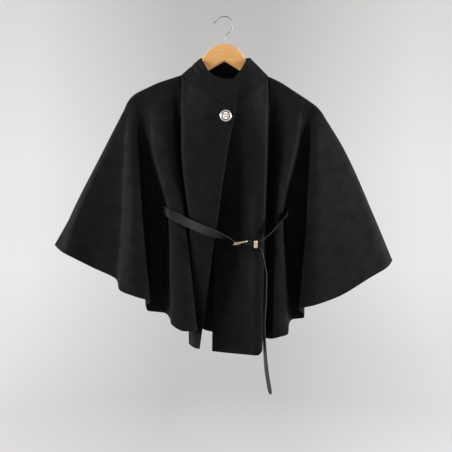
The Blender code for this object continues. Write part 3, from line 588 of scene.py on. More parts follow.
def grid_mesh(name, points, uv=None, around=False, capped=False):
    """Quads over a grid in millimetres. around joins the last column to the first, and capped closes both
    ends. uv goes with neither."""
    rows, columns = points.shape[:2]
    corner = np.arange(rows * columns).reshape(rows, columns)
    if around:
        corner = np.concatenate([corner, corner[:, :1]], axis=1)
    quads = np.stack([corner[:-1, :-1], corner[:-1, 1:], corner[1:, 1:], corner[1:, :-1]], axis=-1)
    faces = quads.reshape(-1, 4).tolist()
    if capped:
        faces += [corner[0, :columns][::-1].tolist(), corner[-1, :columns].tolist()]
    mesh = bpy.data.meshes.new(name)
    mesh.from_pydata((points.reshape(-1, 3) * MM).tolist(), [], faces)
    if uv is not None:
        layer = mesh.uv_layers.new(name="cut")
        layer.uv.foreach_set("vector", uv.reshape(-1, 2)[quads.ravel()].astype(np.float32).ravel())
    mesh.shade_smooth()
    mesh.update()
    return mesh


def face_out(mesh):
    """Turn a closed mesh's faces outwards."""
    form = bmesh.new()
    form.from_mesh(mesh)
    bmesh.ops.recalc_face_normals(form, faces=form.faces)
    form.to_mesh(mesh)
    form.free()
    mesh.update()


def mark(mesh, **values):
    """Numbers at a mesh's points, which its finish reads by name."""
    for name, numbers in values.items():
        layer = mesh.attributes.new(name, "FLOAT", "POINT")
        layer.data.foreach_set("value", numbers.astype(np.float32).ravel())


def link(name, data):
    """A new object in the scene."""
    obj = bpy.data.objects.new(name, data)
    bpy.context.scene.collection.objects.link(obj)
    return obj


def add_piece(name, mesh, material, nodes):
    """Link a piece, give it its finish, let it ride on the body and stand for its nodes."""
    obj = link(name, mesh)
    mesh.materials.append(material)
    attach(obj, BODY)
    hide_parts(*nodes)
    return obj


def add_rings(name, points, material, nodes, capped=False):
    """A piece from rows of rings: a loop, or a bar with its ends capped."""
    mesh = grid_mesh(name, points, around=True, capped=capped)
    face_out(mesh)
    add_piece(name, mesh, material, nodes)


def add_cloth(node_name, dressed, thick):
    """A cloth piece from its points and their places on the cut cloth."""
    points, uv = dressed
    name = node_name + "_cloth"
    crepe = finish("black_crepe", draw_crepe)
    piece = add_piece(name, grid_mesh(name, points, uv), crepe, [node_name])
    solidify = piece.modifiers.new("cloth thickness", "SOLIDIFY")
    solidify.thickness = thick
    solidify.offset = 0.0


def frames_along(path, side, closed=False):
    """Unit side and normal at each point; side is made square to the path."""
    tangent = np.gradient(path, axis=0)
    if closed:
        tangent[0] = tangent[-1] = path[1] - path[-2]
    tangent = unit(tangent)
    side = np.broadcast_to(np.asarray(side, float), path.shape)
    side = unit(side - tangent * np.sum(side * tangent, axis=1, keepdims=True))
    return side, np.cross(tangent, side)


def sweep(path, side, profile, scale=1.0, closed=False):
    """A profile of side and normal offsets carried along a path. A closed path ends with its first row."""
    scale = np.broadcast_to(scale, len(path))
    if closed:
        path, scale = np.concatenate([path, path[:1]]), np.append(scale, scale[0])
    side, normal = frames_along(path, side, closed)
    offsets = profile[None] * scale[:, None, None]
    return path[:, None] + offsets[..., :1] * side[:, None] + offsets[..., 1:] * normal[:, None]


def ring(count, first=0.0):
    """Points of a unit circle; first is the first point's share of a step."""
    angle = (np.arange(count) + first) * 2 * math.pi / count
    return np.column_stack([np.cos(angle), np.sin(angle)])


def rounded_bar(half_a, half_b, corner, count):
    """A rounded rectangle: a circle of the corner's radius pushed out to the four corners."""
    turn = ring(count, 0.5)
    return turn * corner + np.sign(turn) * (half_a - corner, half_b - corner)


def end_scale(length, reach):
    """A profile's scale along its length, rounded off like a quarter circle at both ends."""
    return np.maximum(quarter_round(np.minimum(length, length[-1] - length) / reach), 0.08)


def closed_path(low, high, radius, turns):
    """The rounded outline of a rectangle between two corners, in its own plane."""
    corners = np.array([low, (low[0], high[1]), high, (high[0], low[1])], float)
    before = unit(np.roll(corners, 1, axis=0) - corners)
    after = unit(np.roll(corners, -1, axis=0) - corners)
    centre = corners + (before + after) * radius
    share = np.linspace(0, 1, turns)[None, :, None] * math.pi / 2
    arc = centre[:, None] - after[:, None] * radius * np.cos(share) - before[:, None] * radius * np.sin(share)
    return arc.reshape(-1, 2)


# Nodes

def feed(tree, socket, value):
    """Link another socket into a socket, or set its plain value."""
    if isinstance(value, bpy.types.NodeSocket):
        tree.links.new(value, socket)
    else:
        socket.default_value = value


def node(tree, kind, inputs=None, **properties):
    """A node with its properties set. inputs maps the names of its sockets to sockets or plain values."""
    made = tree.nodes.new(kind)
    for name, value in properties.items():
        setattr(made, name, value)
    for name, value in (inputs or {}).items():
        feed(tree, made.inputs[name], value)
    return made


def maths(tree, operation, *values, kind="ShaderNodeMath"):
    """The result of a Math node fed by sockets or plain numbers."""
    made = node(tree, kind, operation=operation)
    for socket, value in zip(made.inputs, values):
        feed(tree, socket, value)
    return made.outputs[0]


def scaled(tree, vector, by):
    """A vector multiplied by three numbers."""
    return maths(tree, "MULTIPLY", vector, by, kind="ShaderNodeVectorMath")


def blend_colours(tree, mask, first, second):
    """A colour between two, by a mask. Colours are sockets or three numbers."""
    made = node(tree, "ShaderNodeMix", data_type="RGBA")
    feed(tree, made.inputs["Factor"], mask)
    ends = [socket for socket in made.inputs if socket.type == "RGBA"]
    for socket, value in zip(ends, (first, second)):
        feed(tree, socket, value if isinstance(value, bpy.types.NodeSocket) else (*value, 1.0))
    return next(socket for socket in made.outputs if socket.type == "RGBA")


def noise(tree, vector, scale, detail=3.0, roughness=0.55, distortion=0.0, result="Fac"):
    inputs = {"Vector": vector, "Scale": scale, "Detail": detail, "Roughness": roughness}
    return node(tree, "ShaderNodeTexNoise", inputs | {"Distortion": distortion}).outputs[result]


def spread(tree, value, low, high, to_low=0.0, to_high=1.0):
    """A value stretched from one range to another, held at its ends."""
    inputs = {"Value": value, "From Min": low, "From Max": high, "To Min": to_low, "To Max": to_high}
    return node(tree, "ShaderNodeMapRange", inputs).outputs["Result"]


def marked(tree, name):
    """The numbers that mark() gave a piece's points."""
    return node(tree, "ShaderNodeAttribute", attribute_name=name).outputs["Fac"]


def bump(tree, height, distance, strength):
    inputs = {"Height": height, "Distance": distance, "Strength": strength}
    return node(tree, "ShaderNodeBump", inputs).outputs["Normal"]


def times(colour, by):
    """A colour multiplied by one number, or by three."""
    return tuple(float(channel) for channel in np.array(colour) * by)


def shared(tree, name, draw, results, place, counts=()):
    """The outputs of a node group that is made once. draw turns its place, and a count per metre where it has
    one, into its results. counts holds that count's name, default and value here."""
    group = bpy.data.node_groups.get(name)
    if group is None:
        group = bpy.data.node_groups.new(name, "ShaderNodeTree")
        group.interface.new_socket("Place", in_out="INPUT", socket_type="NodeSocketVector")
        for label, default, _ in counts:
            socket = group.interface.new_socket(label, in_out="INPUT", socket_type="NodeSocketFloat")
            socket.default_value = default
        for label in results:
            group.interface.new_socket(label, in_out="OUTPUT", socket_type="NodeSocketFloat")
        given, result = group.nodes.new("NodeGroupInput"), group.nodes.new("NodeGroupOutput")
        for label, value in zip(results, draw(group, *given.outputs[:1 + len(counts)])):
            group.links.new(value, result.inputs[label])
    inputs = {"Place": place} | {label: value for label, _, value in counts}
    return node(tree, "ShaderNodeGroup", inputs, node_tree=group).outputs


def draw_weave(group, cloth, threads_per_metre):
    """Two crossed rows of threads on the cloth in metres, bent by noise, under short fibres. Gives their
    height, the threads alone and slow clouds."""
    bend = scaled(group, noise(group, cloth, 420.0, 2.0, 0.5, result="Color"), (0.0011, 0.0011, 0.0))
    bent = maths(group, "ADD", cloth, bend, kind="ShaderNodeVectorMath")
    parts = node(group, "ShaderNodeSeparateXYZ", {"Vector": bent}).outputs
    turns = maths(group, "MULTIPLY", threads_per_metre, math.pi)
    warp, weft = [
        maths(group, "ABSOLUTE", maths(group, "SINE", maths(group, "MULTIPLY", parts[axis], turns)))
        for axis in ("X", "Y")
    ]
    threads = maths(group, "MULTIPLY", maths(group, "ADD", warp, weft), 0.5)
    fibres = maths(group, "MULTIPLY", noise(group, cloth, 1500.0, 2.0, 0.6), 0.6)
    height = maths(group, "ADD", maths(group, "MULTIPLY", threads, 0.7), fibres)
    return height, threads, noise(group, cloth, 34.0, 4.0, 0.6)


def draw_grain(group, place, cells_per_metre):
    """Rounded cells with thin furrows between them, under fine noise. Gives their height, the furrows and
    slow clouds."""
    inputs = {"Vector": place, "Scale": cells_per_metre}
    cells = node(group, "ShaderNodeTexVoronoi", inputs, feature="DISTANCE_TO_EDGE")
    furrows = spread(group, cells.outputs["Distance"], 0.0, 0.16)
    fine = maths(group, "MULTIPLY", noise(group, place, 2600.0, 2.0, 0.6), 0.3)
    height = maths(group, "ADD", maths(group, "MULTIPLY", furrows, 0.8), fine)
    return height, furrows, noise(group, place, 60.0, 4.0, 0.6)


def draw_handling(group, place):
    """Fine scratches and smudges of handled metal: long thin noise across soft clouds. Gives their height and
    each alone."""
    lines = noise(group, scaled(group, place, (1.0, 0.12, 1.6)), 2600.0, 3.0, 0.7, 0.3)
    scratches = spread(group, lines, 0.56, 0.72)
    smudges = noise(group, place, 190.0, 3.0, 0.6)
    raised = maths(group, "MULTIPLY", smudges, 0.3)
    return maths(group, "SUBTRACT", raised, maths(group, "MULTIPLY", scratches, 0.5)), scratches, smudges


# Finishes

def finish(name, draw, *more):
    """A material that is made once. draw works out what goes into its shader's sockets, by their names."""
    if name in bpy.data.materials:
        return bpy.data.materials[name]
    material = bpy.data.materials.new(name)
    material.use_nodes = True
    tree = material.node_tree
    shader = tree.nodes["Principled BSDF"]
    for label, value in draw(tree, node(tree, "ShaderNodeTexCoord").outputs, *more).items():
        feed(tree, shader.inputs[label], value)
    return material


def draw_crepe(tree, coords):
    """Black crepe: near-black threads with a painted highlight on their tops, with darker clouds and a soft
    nap.
    """
    settings = bpy.context.scene.cape_cloth
    dark = settings.colour
    counts = [("Threads per metre", 1100.0, settings.threads)]
    weave = shared(tree, "crepe weave", draw_weave, ("Height", "Threads", "Mottle"), coords["UV"], counts)
    # Painted highlight: the tops of the threads are painted paler than their sides
    by_thread = blend_colours(tree, weave["Threads"], dark, times(dark, 1.8))
    clouds = spread(tree, weave["Mottle"], 0.35, 0.7, 0.0, 0.45)
    return {
        "Base Color": blend_colours(tree, clouds, by_thread, times(dark, 0.7)),
        "Roughness": spread(tree, weave["Mottle"], 0.3, 0.7, 0.72, 0.88),
        "Specular IOR Level": 0.12,
        "Sheen Weight": settings.nap,
        "Sheen Roughness": 0.45,
        "Sheen Tint": (0.75, 0.8, 0.95, 1.0),
        "Normal": bump(tree, weave["Height"], 0.00022, 0.7),
    }


def draw_leather(tree, coords):
    """Black belt leather: fine grain, semi-gloss, paler on its clouds, with painted highlights left of the
    buckle, on its cut edges and on the tail, and painted shade, darker and duller, where it turns in at the
    slits."""
    settings = bpy.context.scene.cape_leather
    dark = settings.colour
    counts = [("Cells per metre", 1300.0, 1300.0)]
    results = ("Height", "Furrows", "Mottle")
    grain = shared(tree, "leather grain", draw_grain, results, coords["Object"], counts)
    worn = marked(tree, "worn")
    clouds = spread(tree, grain["Mottle"], 0.4, 0.75, 0.0, 0.5)
    # Painted highlight: the cut edges, and the tail with them, are painted paler
    edges = spread(tree, marked(tree, "from_edge"), 0.5, 1.1, 1.0, 0.0)
    colour = blend_colours(tree, grain["Furrows"], times(dark, 0.45), dark)
    # Painted highlights: the bell left of the buckle, and the cut edges with the tail, are made paler
    for mask, by in ((clouds, 1.7), (marked(tree, "bloom"), 9), (edges, 10)):
        colour = blend_colours(tree, mask, colour, times(dark, by))
    dull, glossy = settings.roughness + 0.1, settings.roughness - 0.06
    rough = spread(tree, grain["Mottle"], 0.3, 0.7, dull, glossy)
    return {
        # Painted shade: the leather is darker where the belt turns in at the slits
        "Base Color": blend_colours(tree, worn, times(dark, 0.2), colour),
        "Roughness": maths(tree, "MAXIMUM", rough, spread(tree, worn, 0.0, 1.0, 0.6, 0.0)),
        "Specular IOR Level": 0.2,
        "Coat Weight": 0.03,
        "Coat Roughness": 0.3,
        "Normal": bump(tree, grain["Height"], 0.00012, 0.6),
    }


def handled_metal(tree, coords):
    """The scratches and smudges that each metal has."""
    results = ("Height", "Scratches", "Smudges")
    return shared(tree, "handled metal", draw_handling, results, coords["Object"])


def metal_inputs(tree, handled, colour, shine, dulled):
    """The sockets of a metal: shine holds its roughness away from smudges and on them, dulled adds to it."""
    rough = spread(tree, handled["Smudges"], 0.3, 0.7, *shine)
    return {
        "Base Color": colour,
        "Roughness": maths(tree, "ADD", rough, dulled),
        "Metallic": 1.0,
        "Normal": bump(tree, handled["Height"], 0.00003, 0.5),
    }


def draw_metal(tree, coords, bright, dull, roughness):
    """Plated metal or wire: even colour, duller on smudges, with fine scratches that are rougher."""
    handled = handled_metal(tree, coords)
    colour = blend_colours(tree, spread(tree, handled["Smudges"], 0.35, 0.75), bright, dull)
    dulled = maths(tree, "MULTIPLY", handled["Scratches"], 0.14)
    return metal_inputs(tree, handled, colour, (roughness, roughness + 0.12), dulled)


def draw_button_metal(tree, coords):
    """Silver rim and pale champagne centre, tarnished where the relief is low. Its points say where."""
    metals = bpy.context.scene.cape_metals
    low = marked(tree, "recess")
    centre = times(np.array(metals.silver) * 2 + np.array(metals.gold), 1 / 3)
    plating = blend_colours(tree, marked(tree, "centre"), metals.silver, centre)
    colour = blend_colours(tree, low, plating, TARNISH)
    dulled = maths(tree, "MULTIPLY", low, 0.35)
    return metal_inputs(tree, handled_metal(tree, coords), colour, (0.26, 0.4), dulled)


def draw_wood(tree, coords):
    """Varnished beech: faint long streaks that wander a little, small dark flecks and clouds of colour."""
    pale = bpy.context.scene.cape_hanger.colour
    dark, ruddy = times(pale, (0.80, 0.70, 0.55)), times(pale, (0.93, 0.78, 0.56))
    drawn_out = [scaled(tree, coords["Object"], (along, 1.0, 1.0)) for along in (0.07, 0.16, 0.5)]
    streaks = noise(tree, drawn_out[0], 260.0, 5.0, 0.62, 0.35)
    flecks = spread(tree, noise(tree, drawn_out[1], 1500.0, 2.0), 0.6, 0.74)
    clouds = spread(tree, noise(tree, drawn_out[2], 26.0, 3.0, 0.6, 0.8), 0.42, 0.72)
    colour = blend_colours(tree, spread(tree, streaks, 0.36, 0.66, 0.0, 0.6), pale, dark)
    colour = blend_colours(tree, maths(tree, "MULTIPLY", clouds, 0.75), colour, ruddy)
    return {
        "Base Color": blend_colours(tree, maths(tree, "MULTIPLY", flecks, 0.35), colour, times(dark, 0.5)),
        "Roughness": spread(tree, streaks, 0.3, 0.7, 0.42, 0.52),
        "Coat Weight": 0.3,
        "Coat Roughness": 0.3,
        "Normal": bump(tree, streaks, 0.00012, 0.4),
    }


def draw_plaster(tree, coords):
    """Pale floor and wall. They give a part of the light back, and glow where the camera or a mirror sees
    them: less behind the cape, near the floor and high up."""
    settings = bpy.context.scene.cape_stage
    floor_z = -settings.floor_down
    path = node(tree, "ShaderNodeLightPath").outputs
    mirrored = maths(tree, "MULTIPLY", path["Is Glossy Ray"], settings.mirrored)
    seen = maths(tree, "MAXIMUM", path["Is Camera Ray"], mirrored)
    parts = node(tree, "ShaderNodeSeparateXYZ", {"Vector": coords["Object"]}).outputs
    # Painted shade on the glow: less behind the cape, high up and near the floor
    in_front = spread(tree, parts["Y"], -0.5, 0.5, 2.0, 0.0)
    aside = maths(tree, "ADD", maths(tree, "ABSOLUTE", parts["X"]), in_front)
    middle = spread(tree, aside, 0.4, 1.7, 0.64, 1.0)
    upper = spread(tree, parts["Z"], 0.0, 1.5, 1.0, 0.84)
    lower = spread(tree, parts["Z"], floor_z, 0.5 * floor_z, 0.85, 1.0)
    glow = maths(tree, "MULTIPLY", maths(tree, "MULTIPLY", upper, lower), settings.glow)
    return {
        "Base Color": (*times(settings.pale, settings.bounce), 1.0),
        "Roughness": 0.9,
        "Emission Color": (*settings.pale, 1.0),
        "Emission Strength": maths(tree, "MULTIPLY", seen, maths(tree, "MULTIPLY", middle, glow)),
    }


# Settings

class ClothSettings(bpy.types.PropertyGroup):
    thick: bpy.props.FloatProperty(
        name="Thickness", description="Thickness of the cloth", default=0.0018, min=0.001, max=0.003,
        unit="LENGTH", precision=4,
    )
    spacing: bpy.props.FloatProperty(
        name="Fineness", description="Widest step between points of the cloth", default=0.0036, min=0.002,
        max=0.01, unit="LENGTH", precision=4,
    )
    colour: bpy.props.FloatVectorProperty(
        name="Colour", description="Colour of the threads", default=(0.0046, 0.0044, 0.0047), size=3, min=0.0,
        max=1.0, subtype="COLOR",
    )
    threads: bpy.props.FloatProperty(
        name="Threads per metre", description="Count of threads in a metre of cloth", default=1100.0,
        min=300.0, max=3000.0,
    )
    nap: bpy.props.FloatProperty(
        name="Nap", description="Strength of the soft sheen of raised fibres", default=0.02, min=0.0, max=1.0,
        subtype="FACTOR",
    )


class LeatherSettings(bpy.types.PropertyGroup):
    wide: bpy.props.FloatProperty(
        name="Width", description="Width of the belt", default=0.020, min=0.01, max=0.03, unit="LENGTH",
        precision=4,
    )
    thick: bpy.props.FloatProperty(
        name="Thickness", description="Thickness of the belt", default=0.0016, min=0.001, max=0.004,
        unit="LENGTH", precision=4,
    )
    colour: bpy.props.FloatVectorProperty(
        name="Colour", description="Colour of the leather", default=(0.0048, 0.005, 0.0056), size=3, min=0.0,
        max=1.0, subtype="COLOR",
    )
    roughness: bpy.props.FloatProperty(
        name="Roughness", description="Dullness of the leather", default=0.36, min=0.1, max=0.9,
        subtype="FACTOR",
    )


class MetalSettings(bpy.types.PropertyGroup):
    gold: bpy.props.FloatVectorProperty(
        name="Champagne", description="Colour of the buckle, keeper and button centre",
        default=(0.80, 0.68, 0.47), size=3, min=0.0, max=1.0, subtype="COLOR",
    )
    silver: bpy.props.FloatVectorProperty(
        name="Silver", description="Colour of the button's rim", default=(0.82, 0.81, 0.78), size=3, min=0.0,
        max=1.0, subtype="COLOR",
    )
    petals: bpy.props.IntProperty(
        name="Petals", description="Count of raised petals on the button", default=12, min=4, max=24,
    )


class HangerSettings(bpy.types.PropertyGroup):
    colour: bpy.props.FloatVectorProperty(
        name="Wood", description="Colour of the pale wood", default=(0.96, 0.53, 0.2), size=3, min=0.0,
        max=1.0, subtype="COLOR",
    )


class StageSettings(bpy.types.PropertyGroup):
    camera_away: bpy.props.FloatProperty(
        name="Camera distance", description="From the camera to the hanger", default=1.5, min=0.5, max=5.0,
        unit="LENGTH",
    )
    floor_down: bpy.props.FloatProperty(
        name="Floor", description="How far the floor lies below the hook's top", default=1.75, min=1.0,
        max=3.0, unit="LENGTH",
    )
    pale: bpy.props.FloatVectorProperty(
        name="Floor colour", description="Colour of the floor and wall", default=(0.82, 0.81, 0.80), size=3,
        min=0.0, max=1.0, subtype="COLOR",
    )
    bounce: bpy.props.FloatProperty(
        name="Bounce", description="Share of light that the floor and wall give back to the cape",
        default=0.4, min=0.0, max=1.0, subtype="FACTOR",
    )
    glow: bpy.props.FloatProperty(
        name="Wall brightness", description="Brightness added to the floor and wall where they are seen",
        default=0.8, min=0.0, max=2.0,
    )
    mirrored: bpy.props.FloatProperty(
        name="Mirrored", description="Share of the wall's brightness that gloss and metal mirror",
        default=0.92, min=0.0, max=1.0, subtype="FACTOR",
    )
    key: bpy.props.FloatProperty(
        name="Key light", description="Power of the warm light on the left of the picture", default=76.0,
        min=0.0, max=500.0, unit="POWER",
    )
    fill: bpy.props.FloatProperty(
        name="Fill light", description="Power of the cool light on the right of the picture", default=86.0,
        min=0.0, max=500.0, unit="POWER",
    )
    sky: bpy.props.FloatProperty(
        name="Room light", description="Strength of the light all round", default=0.3, min=0.0, max=5.0,
    )


# Builders

class CAPE_OT_fronts(bpy.types.Operator):
    """Build both fronts and both side pieces"""

    bl_idname = "cape.fronts"
    bl_label = "Fronts and sides"

    def execute(self, context):
        settings = context.scene.cape_cloth
        step = settings.spacing / MM
        right = front_halves(RIGHT_FRONT, RIGHT_SIDE, 0, LEFT_NECK_POINT, LEFT_SHOULDER, step)
        left = front_halves(LEFT_FRONT, LEFT_SIDE, COLLAR_END, RIGHT_NECK_POINT, RIGHT_SHOULDER, step)
        for node_name, points, sign, creases, seed in (
            ("right_front", right[0], 1, RIGHT_FRONT_CREASES, 11),
            ("right_side", right[1], 1, (), 12),
            ("left_front", left[0], -1, LEFT_FRONT_CREASES, 13),
            ("left_side", left[1], -1, (), 14),
        ):
            add_cloth(node_name, dress(points, sign, creases, 0.8, 26.0, seed), settings.thick)
        return {"FINISHED"}


class CAPE_OT_back(bpy.types.Operator):
    """Build the back"""

    bl_idname = "cape.back"
    bl_label = "Back"

    def execute(self, context):
        settings = context.scene.cape_cloth
        step = settings.spacing / MM
        add_cloth("back", dress(back_points(1.2 * step, 1.1 * step), 1, (), 0.9, 30.0, 15), settings.thick)
        return {"FINISHED"}


class CAPE_OT_collar(bpy.types.Operator):
    """Build the funnel collar"""

    bl_idname = "cape.collar"
    bl_label = "Collar"

    def execute(self, context):
        band = dress(collar_points(14, 40), 1, COLLAR_CREASES, 0.5, 9.0, 16)
        add_cloth("collar", band, context.scene.cape_cloth.thick)
        return {"FINISHED"}


def belt_profile(half_wide, half_thick):
    """The strap's cross section: flat faces with a pressed line near each edge, and rounded cut edges."""
    inset = np.array([0.0, 0.18, 0.45, 0.8, 1.3, 1.8, 2.1, 2.4, 2.9, 5.0])
    fall = np.array([0.0, 0.5, 0.8, 0.96, 1.0, 0.99, 0.86, 0.99, 1.0, 1.0])
    side = np.concatenate([inset - half_wide, half_wide - inset[::-1]])
    upper = np.column_stack([side, half_thick * np.concatenate([fall, fall[::-1]])])
    lower = upper[::-1][1:-1] * (1.0, -1.0)
    return np.concatenate([upper, lower])


class CAPE_OT_belt(bpy.types.Operator):
    """Build the leather belt"""

    bl_idname = "cape.belt"
    bl_label = "Belt"

    def execute(self, context):
        settings = context.scene.cape_leather
        rows, length = even_path([point[1:] for point in BELT], BELT_STEP)
        tilt, turn = np.radians(rows[:, 3]), np.radians(rows[:, 4])
        side = np.column_stack([np.sin(turn) * np.sin(tilt), -np.cos(turn) * np.sin(tilt), np.cos(tilt)])
        side, normal = frames_along(rows[:, :3], side)
        profile = belt_profile(settings.wide / MM / 2, settings.thick / MM / 2)
        narrow = (0.25 + 0.75 * quarter_round((length[-1] - length) / BELT_TIP_LONG))[:, None, None]
        points = rows[:, None, :3] + profile[None, :, :1] * narrow * side[:, None]
        points = points + profile[None, :, 1:] * normal[:, None]
        mesh = grid_mesh("belt_strap", points, around=True, capped=True)
        mark(mesh, **self.painted_light_marks(rows, settings.wide / MM / 2 - np.abs(profile[None, :, 0])))
        face_out(mesh)
        mesh = with_hole(mesh, box_mesh("prong_slot", PRONG_SLOT_LOW, PRONG_SLOT_HIGH))
        mesh.shade_smooth()
        add_piece("belt_strap", mesh, finish("black_belt_leather", draw_leather), ["belt"])
        return {"FINISHED"}

    def painted_light_marks(self, rows, from_edge):
        """How far each point lies from a cut edge, with the tail's painted highlight as pale as one; how
        clear it is of the painted shade near the slits; and how strong the painted highlight is, a bell along
        the belt."""
        x, z = rows[:, :1], rows[:, 2:3]
        # Painted highlight: the tail below its height is painted as pale as a cut edge
        tail_highlight = ease((TAIL_HIGHLIGHT_Z - z) / TAIL_HIGHLIGHT_LONG)
        everywhere = 0 * from_edge
        return {
            "from_edge": np.minimum(from_edge, TAIL_HIGHLIGHT_AS_EDGE + 10 * (1 - tail_highlight)),
            # 1 clear of the painted shade, 0 where the belt turns in at the slits
            "worn": 1 - ease((np.abs(x) - CLEAR_OF_SHADE_HALF_LONG) / SLIT_SHADE_FADE) + everywhere,
            # A painted highlight: a bell along the left run, left of the buckle
            "bloom": np.exp(-(((x - LEFT_RUN_HIGHLIGHT_X) / LEFT_RUN_HIGHLIGHT_HALF_LONG) ** 2)) + everywhere,
        }


def box_mesh(name, low, high):
    """A box from its lowest to its highest corner, given in millimetres."""
    low, high = np.array(low), np.array(high)
    share = np.array([(x, y, z) for x in (0, 1) for y in (0, 1) for z in (0, 1)])
    faces = [(0, 1, 3, 2), (4, 6, 7, 5), (0, 4, 5, 1), (2, 3, 7, 6), (0, 2, 6, 4), (1, 5, 7, 3)]
    mesh = bpy.data.meshes.new(name)
    mesh.from_pydata(((low + share * (high - low)) * MM).tolist(), [], faces)
    face_out(mesh)
    return mesh


def with_hole(mesh, cutter):
    """The mesh with the cutter taken out of it, as a new mesh."""
    whole, tool = link("being cut", mesh), link("cutter", cutter)
    cut = whole.modifiers.new("hole", "BOOLEAN")
    cut.operation = "DIFFERENCE"
    cut.solver = "EXACT"
    cut.object = tool
    bpy.context.view_layer.update()
    made = bpy.data.meshes.new_from_object(whole.evaluated_get(bpy.context.evaluated_depsgraph_get()))
    if len(made.polygons) <= len(mesh.polygons) // 2:
        raise RuntimeError("the hole was not cut")
    made.name = mesh.name + "_cut"
    for item in (whole, tool):
        bpy.data.objects.remove(item, do_unlink=True)
    return made


class CAPE_OT_buckle(bpy.types.Operator):
    """Build the buckle frame, its prong and the metal keeper"""

    bl_idname = "cape.buckle"
    bl_label = "Buckle and keeper"

    def execute(self, context):
        gold = context.scene.cape_metals.gold
        plating = finish("champagne_plating", draw_metal, gold, times(gold, 0.72), 0.2)
        (hinge_x, hinge_z), (far_x, far_z) = HINGE_BAR, FAR_BAR
        near, far = BUCKLE_Y - BUCKLE_HALF_WIDE, BUCKLE_Y + BUCKLE_HALF_WIDE
        flat = closed_path((far_x, near), (hinge_x, far), BUCKLE_CORNER, 9)
        slope = (hinge_z - far_z) / (hinge_x - far_x)
        path = np.column_stack([flat, far_z + (flat[:, 0] - far_x) * slope])
        thin = 1 - ease((flat[:, 0] - hinge_x + 0.8) / 0.8) * (1 - HINGE_WIRE / BUCKLE_WIRE)
        frame_rings = sweep(path, (0, 0, 1), ring(20) * BUCKLE_WIRE, thin, closed=True)
        add_rings("buckle_wire_frame", frame_rings, plating, ["buckle_frame"])
        prong = [(far_x + along, BUCKLE_Y, far_z + up) for along, up in PRONG]
        prong.append((hinge_x - HINGE_WIRE - 0.3, BUCKLE_Y, hinge_z))
        rows, length = even_path(prong, 0.5)
        scale = end_scale(length, PRONG_WIRE) * (0.8 + 0.2 * ease(length / 9.0))
        pin = sweep(rows, (0, 1, 0), ring(16) * PRONG_WIRE, scale)
        add_rings("buckle_pin", pin, plating, ["buckle_prong"], capped=True)
        low, high = [np.array(corner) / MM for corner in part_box("belt_keeper")]
        flat = closed_path(low[1:] + KEEPER_WALL / 2, high[1:] - KEEPER_WALL / 2, KEEPER_CORNER, 9)
        path = np.column_stack([np.full(len(flat), (low[0] + high[0]) / 2), flat])
        profile = rounded_bar(KEEPER_SHARE * (high[0] - low[0]) / 2, KEEPER_WALL / 2, 0.55, 20)
        loop = sweep(path, (1, 0, 0), profile, closed=True)
        add_rings("keeper_loop", loop, plating, ["belt_keeper"])
        return {"FINISHED"}


def button_relief(r, turn, edge, petals):
    """Height of the button's face over its base, and how deep in the relief each point lies. A shallow dome
    has an outer and an inner ring of petals round a boss, inside a raised rim. The petals are powers of a
    cosine and a sine round the button, each ring fading out at its two radii."""
    dome = 4.6 - 0.9 * (r / 10.4) ** 2
    window = ease((r - 3.1) / 1.2) * ease((10.0 - r) / 1.2)
    outer = np.abs(np.cos(turn * petals / 2)) ** 0.7 * window
    inner = ease((r - 3.6) / 0.8) * ease((6.6 - r) / 0.8) * np.abs(np.sin(turn * petals / 2)) ** 1.5
    boss = 1.1 * np.sqrt(np.clip(1 - (r / 2.5) ** 2, 0, 1))
    rim_share = np.clip((r - INSIDE_RIM) / (edge - INSIDE_RIM), 0, 1)
    rim = 4.4 + 1.0 * np.sin(math.pi * rim_share) ** 0.5 - 1.0 * rim_share**3
    bowl = dome - 0.9 + 1.0 * outer + 0.35 * inner + boss
    recess = np.clip(1 - outer * 1.6 - boss * 2 - inner, 0, 1) * (r < INSIDE_RIM)
    groove = np.exp(-(((r - RIM_GROOVE) / 0.45) ** 2)) + 0 * turn
    return np.where(r > INSIDE_RIM, rim, bowl) + 0 * turn, np.maximum(recess, groove)


class CAPE_OT_button(bpy.types.Operator):
    """Build the round button with its raised petals"""

    bl_idname = "cape.button"
    bl_label = "Button"

    def execute(self, context):
        low, high = [np.array(corner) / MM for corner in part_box("button")]
        centre = (low + high) / 2
        edge = (high[0] - low[0]) / 2
        turn = np.linspace(0, 2 * math.pi, 144, endpoint=False)[None, :]
        face = np.linspace(0.2, edge, 90)[:, None]
        height, recess = button_relief(face, turn, edge, context.scene.cape_metals.petals)
        rounded_back = edge - np.linspace(0.05, 1.2, 8)
        radius = np.concatenate([face[:, 0], rounded_back, np.linspace(edge - 1.4, 4.4, 8), [4, 4, 4, 0.2]])
        under = np.concatenate([np.linspace(3.9, 2.6, 8), np.full(8, 2.2), [2.2, 1.1, 0.0, 0.0]])
        height = np.concatenate([height, under[:, None] + 0 * turn])
        radius = radius[:, None]
        across, up = centre[0] + radius * np.cos(turn), centre[2] + radius * np.sin(turn)
        points = np.stack([across, high[1] - height, up], axis=-1)
        mesh = grid_mesh("button_disc", points, around=True, capped=True)
        plain = np.zeros((len(under), turn.shape[1]))
        inside = (face < INSIDE_RIM) + 0.0 * turn
        mark(mesh, recess=np.concatenate([recess, plain]), centre=np.concatenate([inside, plain]))
        face_out(mesh)
        metal = finish("button_relief_metal", draw_button_metal)
        add_piece("button_disc", mesh, metal, ["button"])
        return {"FINISHED"}


def lowered(shoulder_rows):
    """Places of a shoulder at the hanger's height below the cloth."""
    return [(x, z - HANGER_UNDER_CLOTH) for x, z in shoulder_rows]


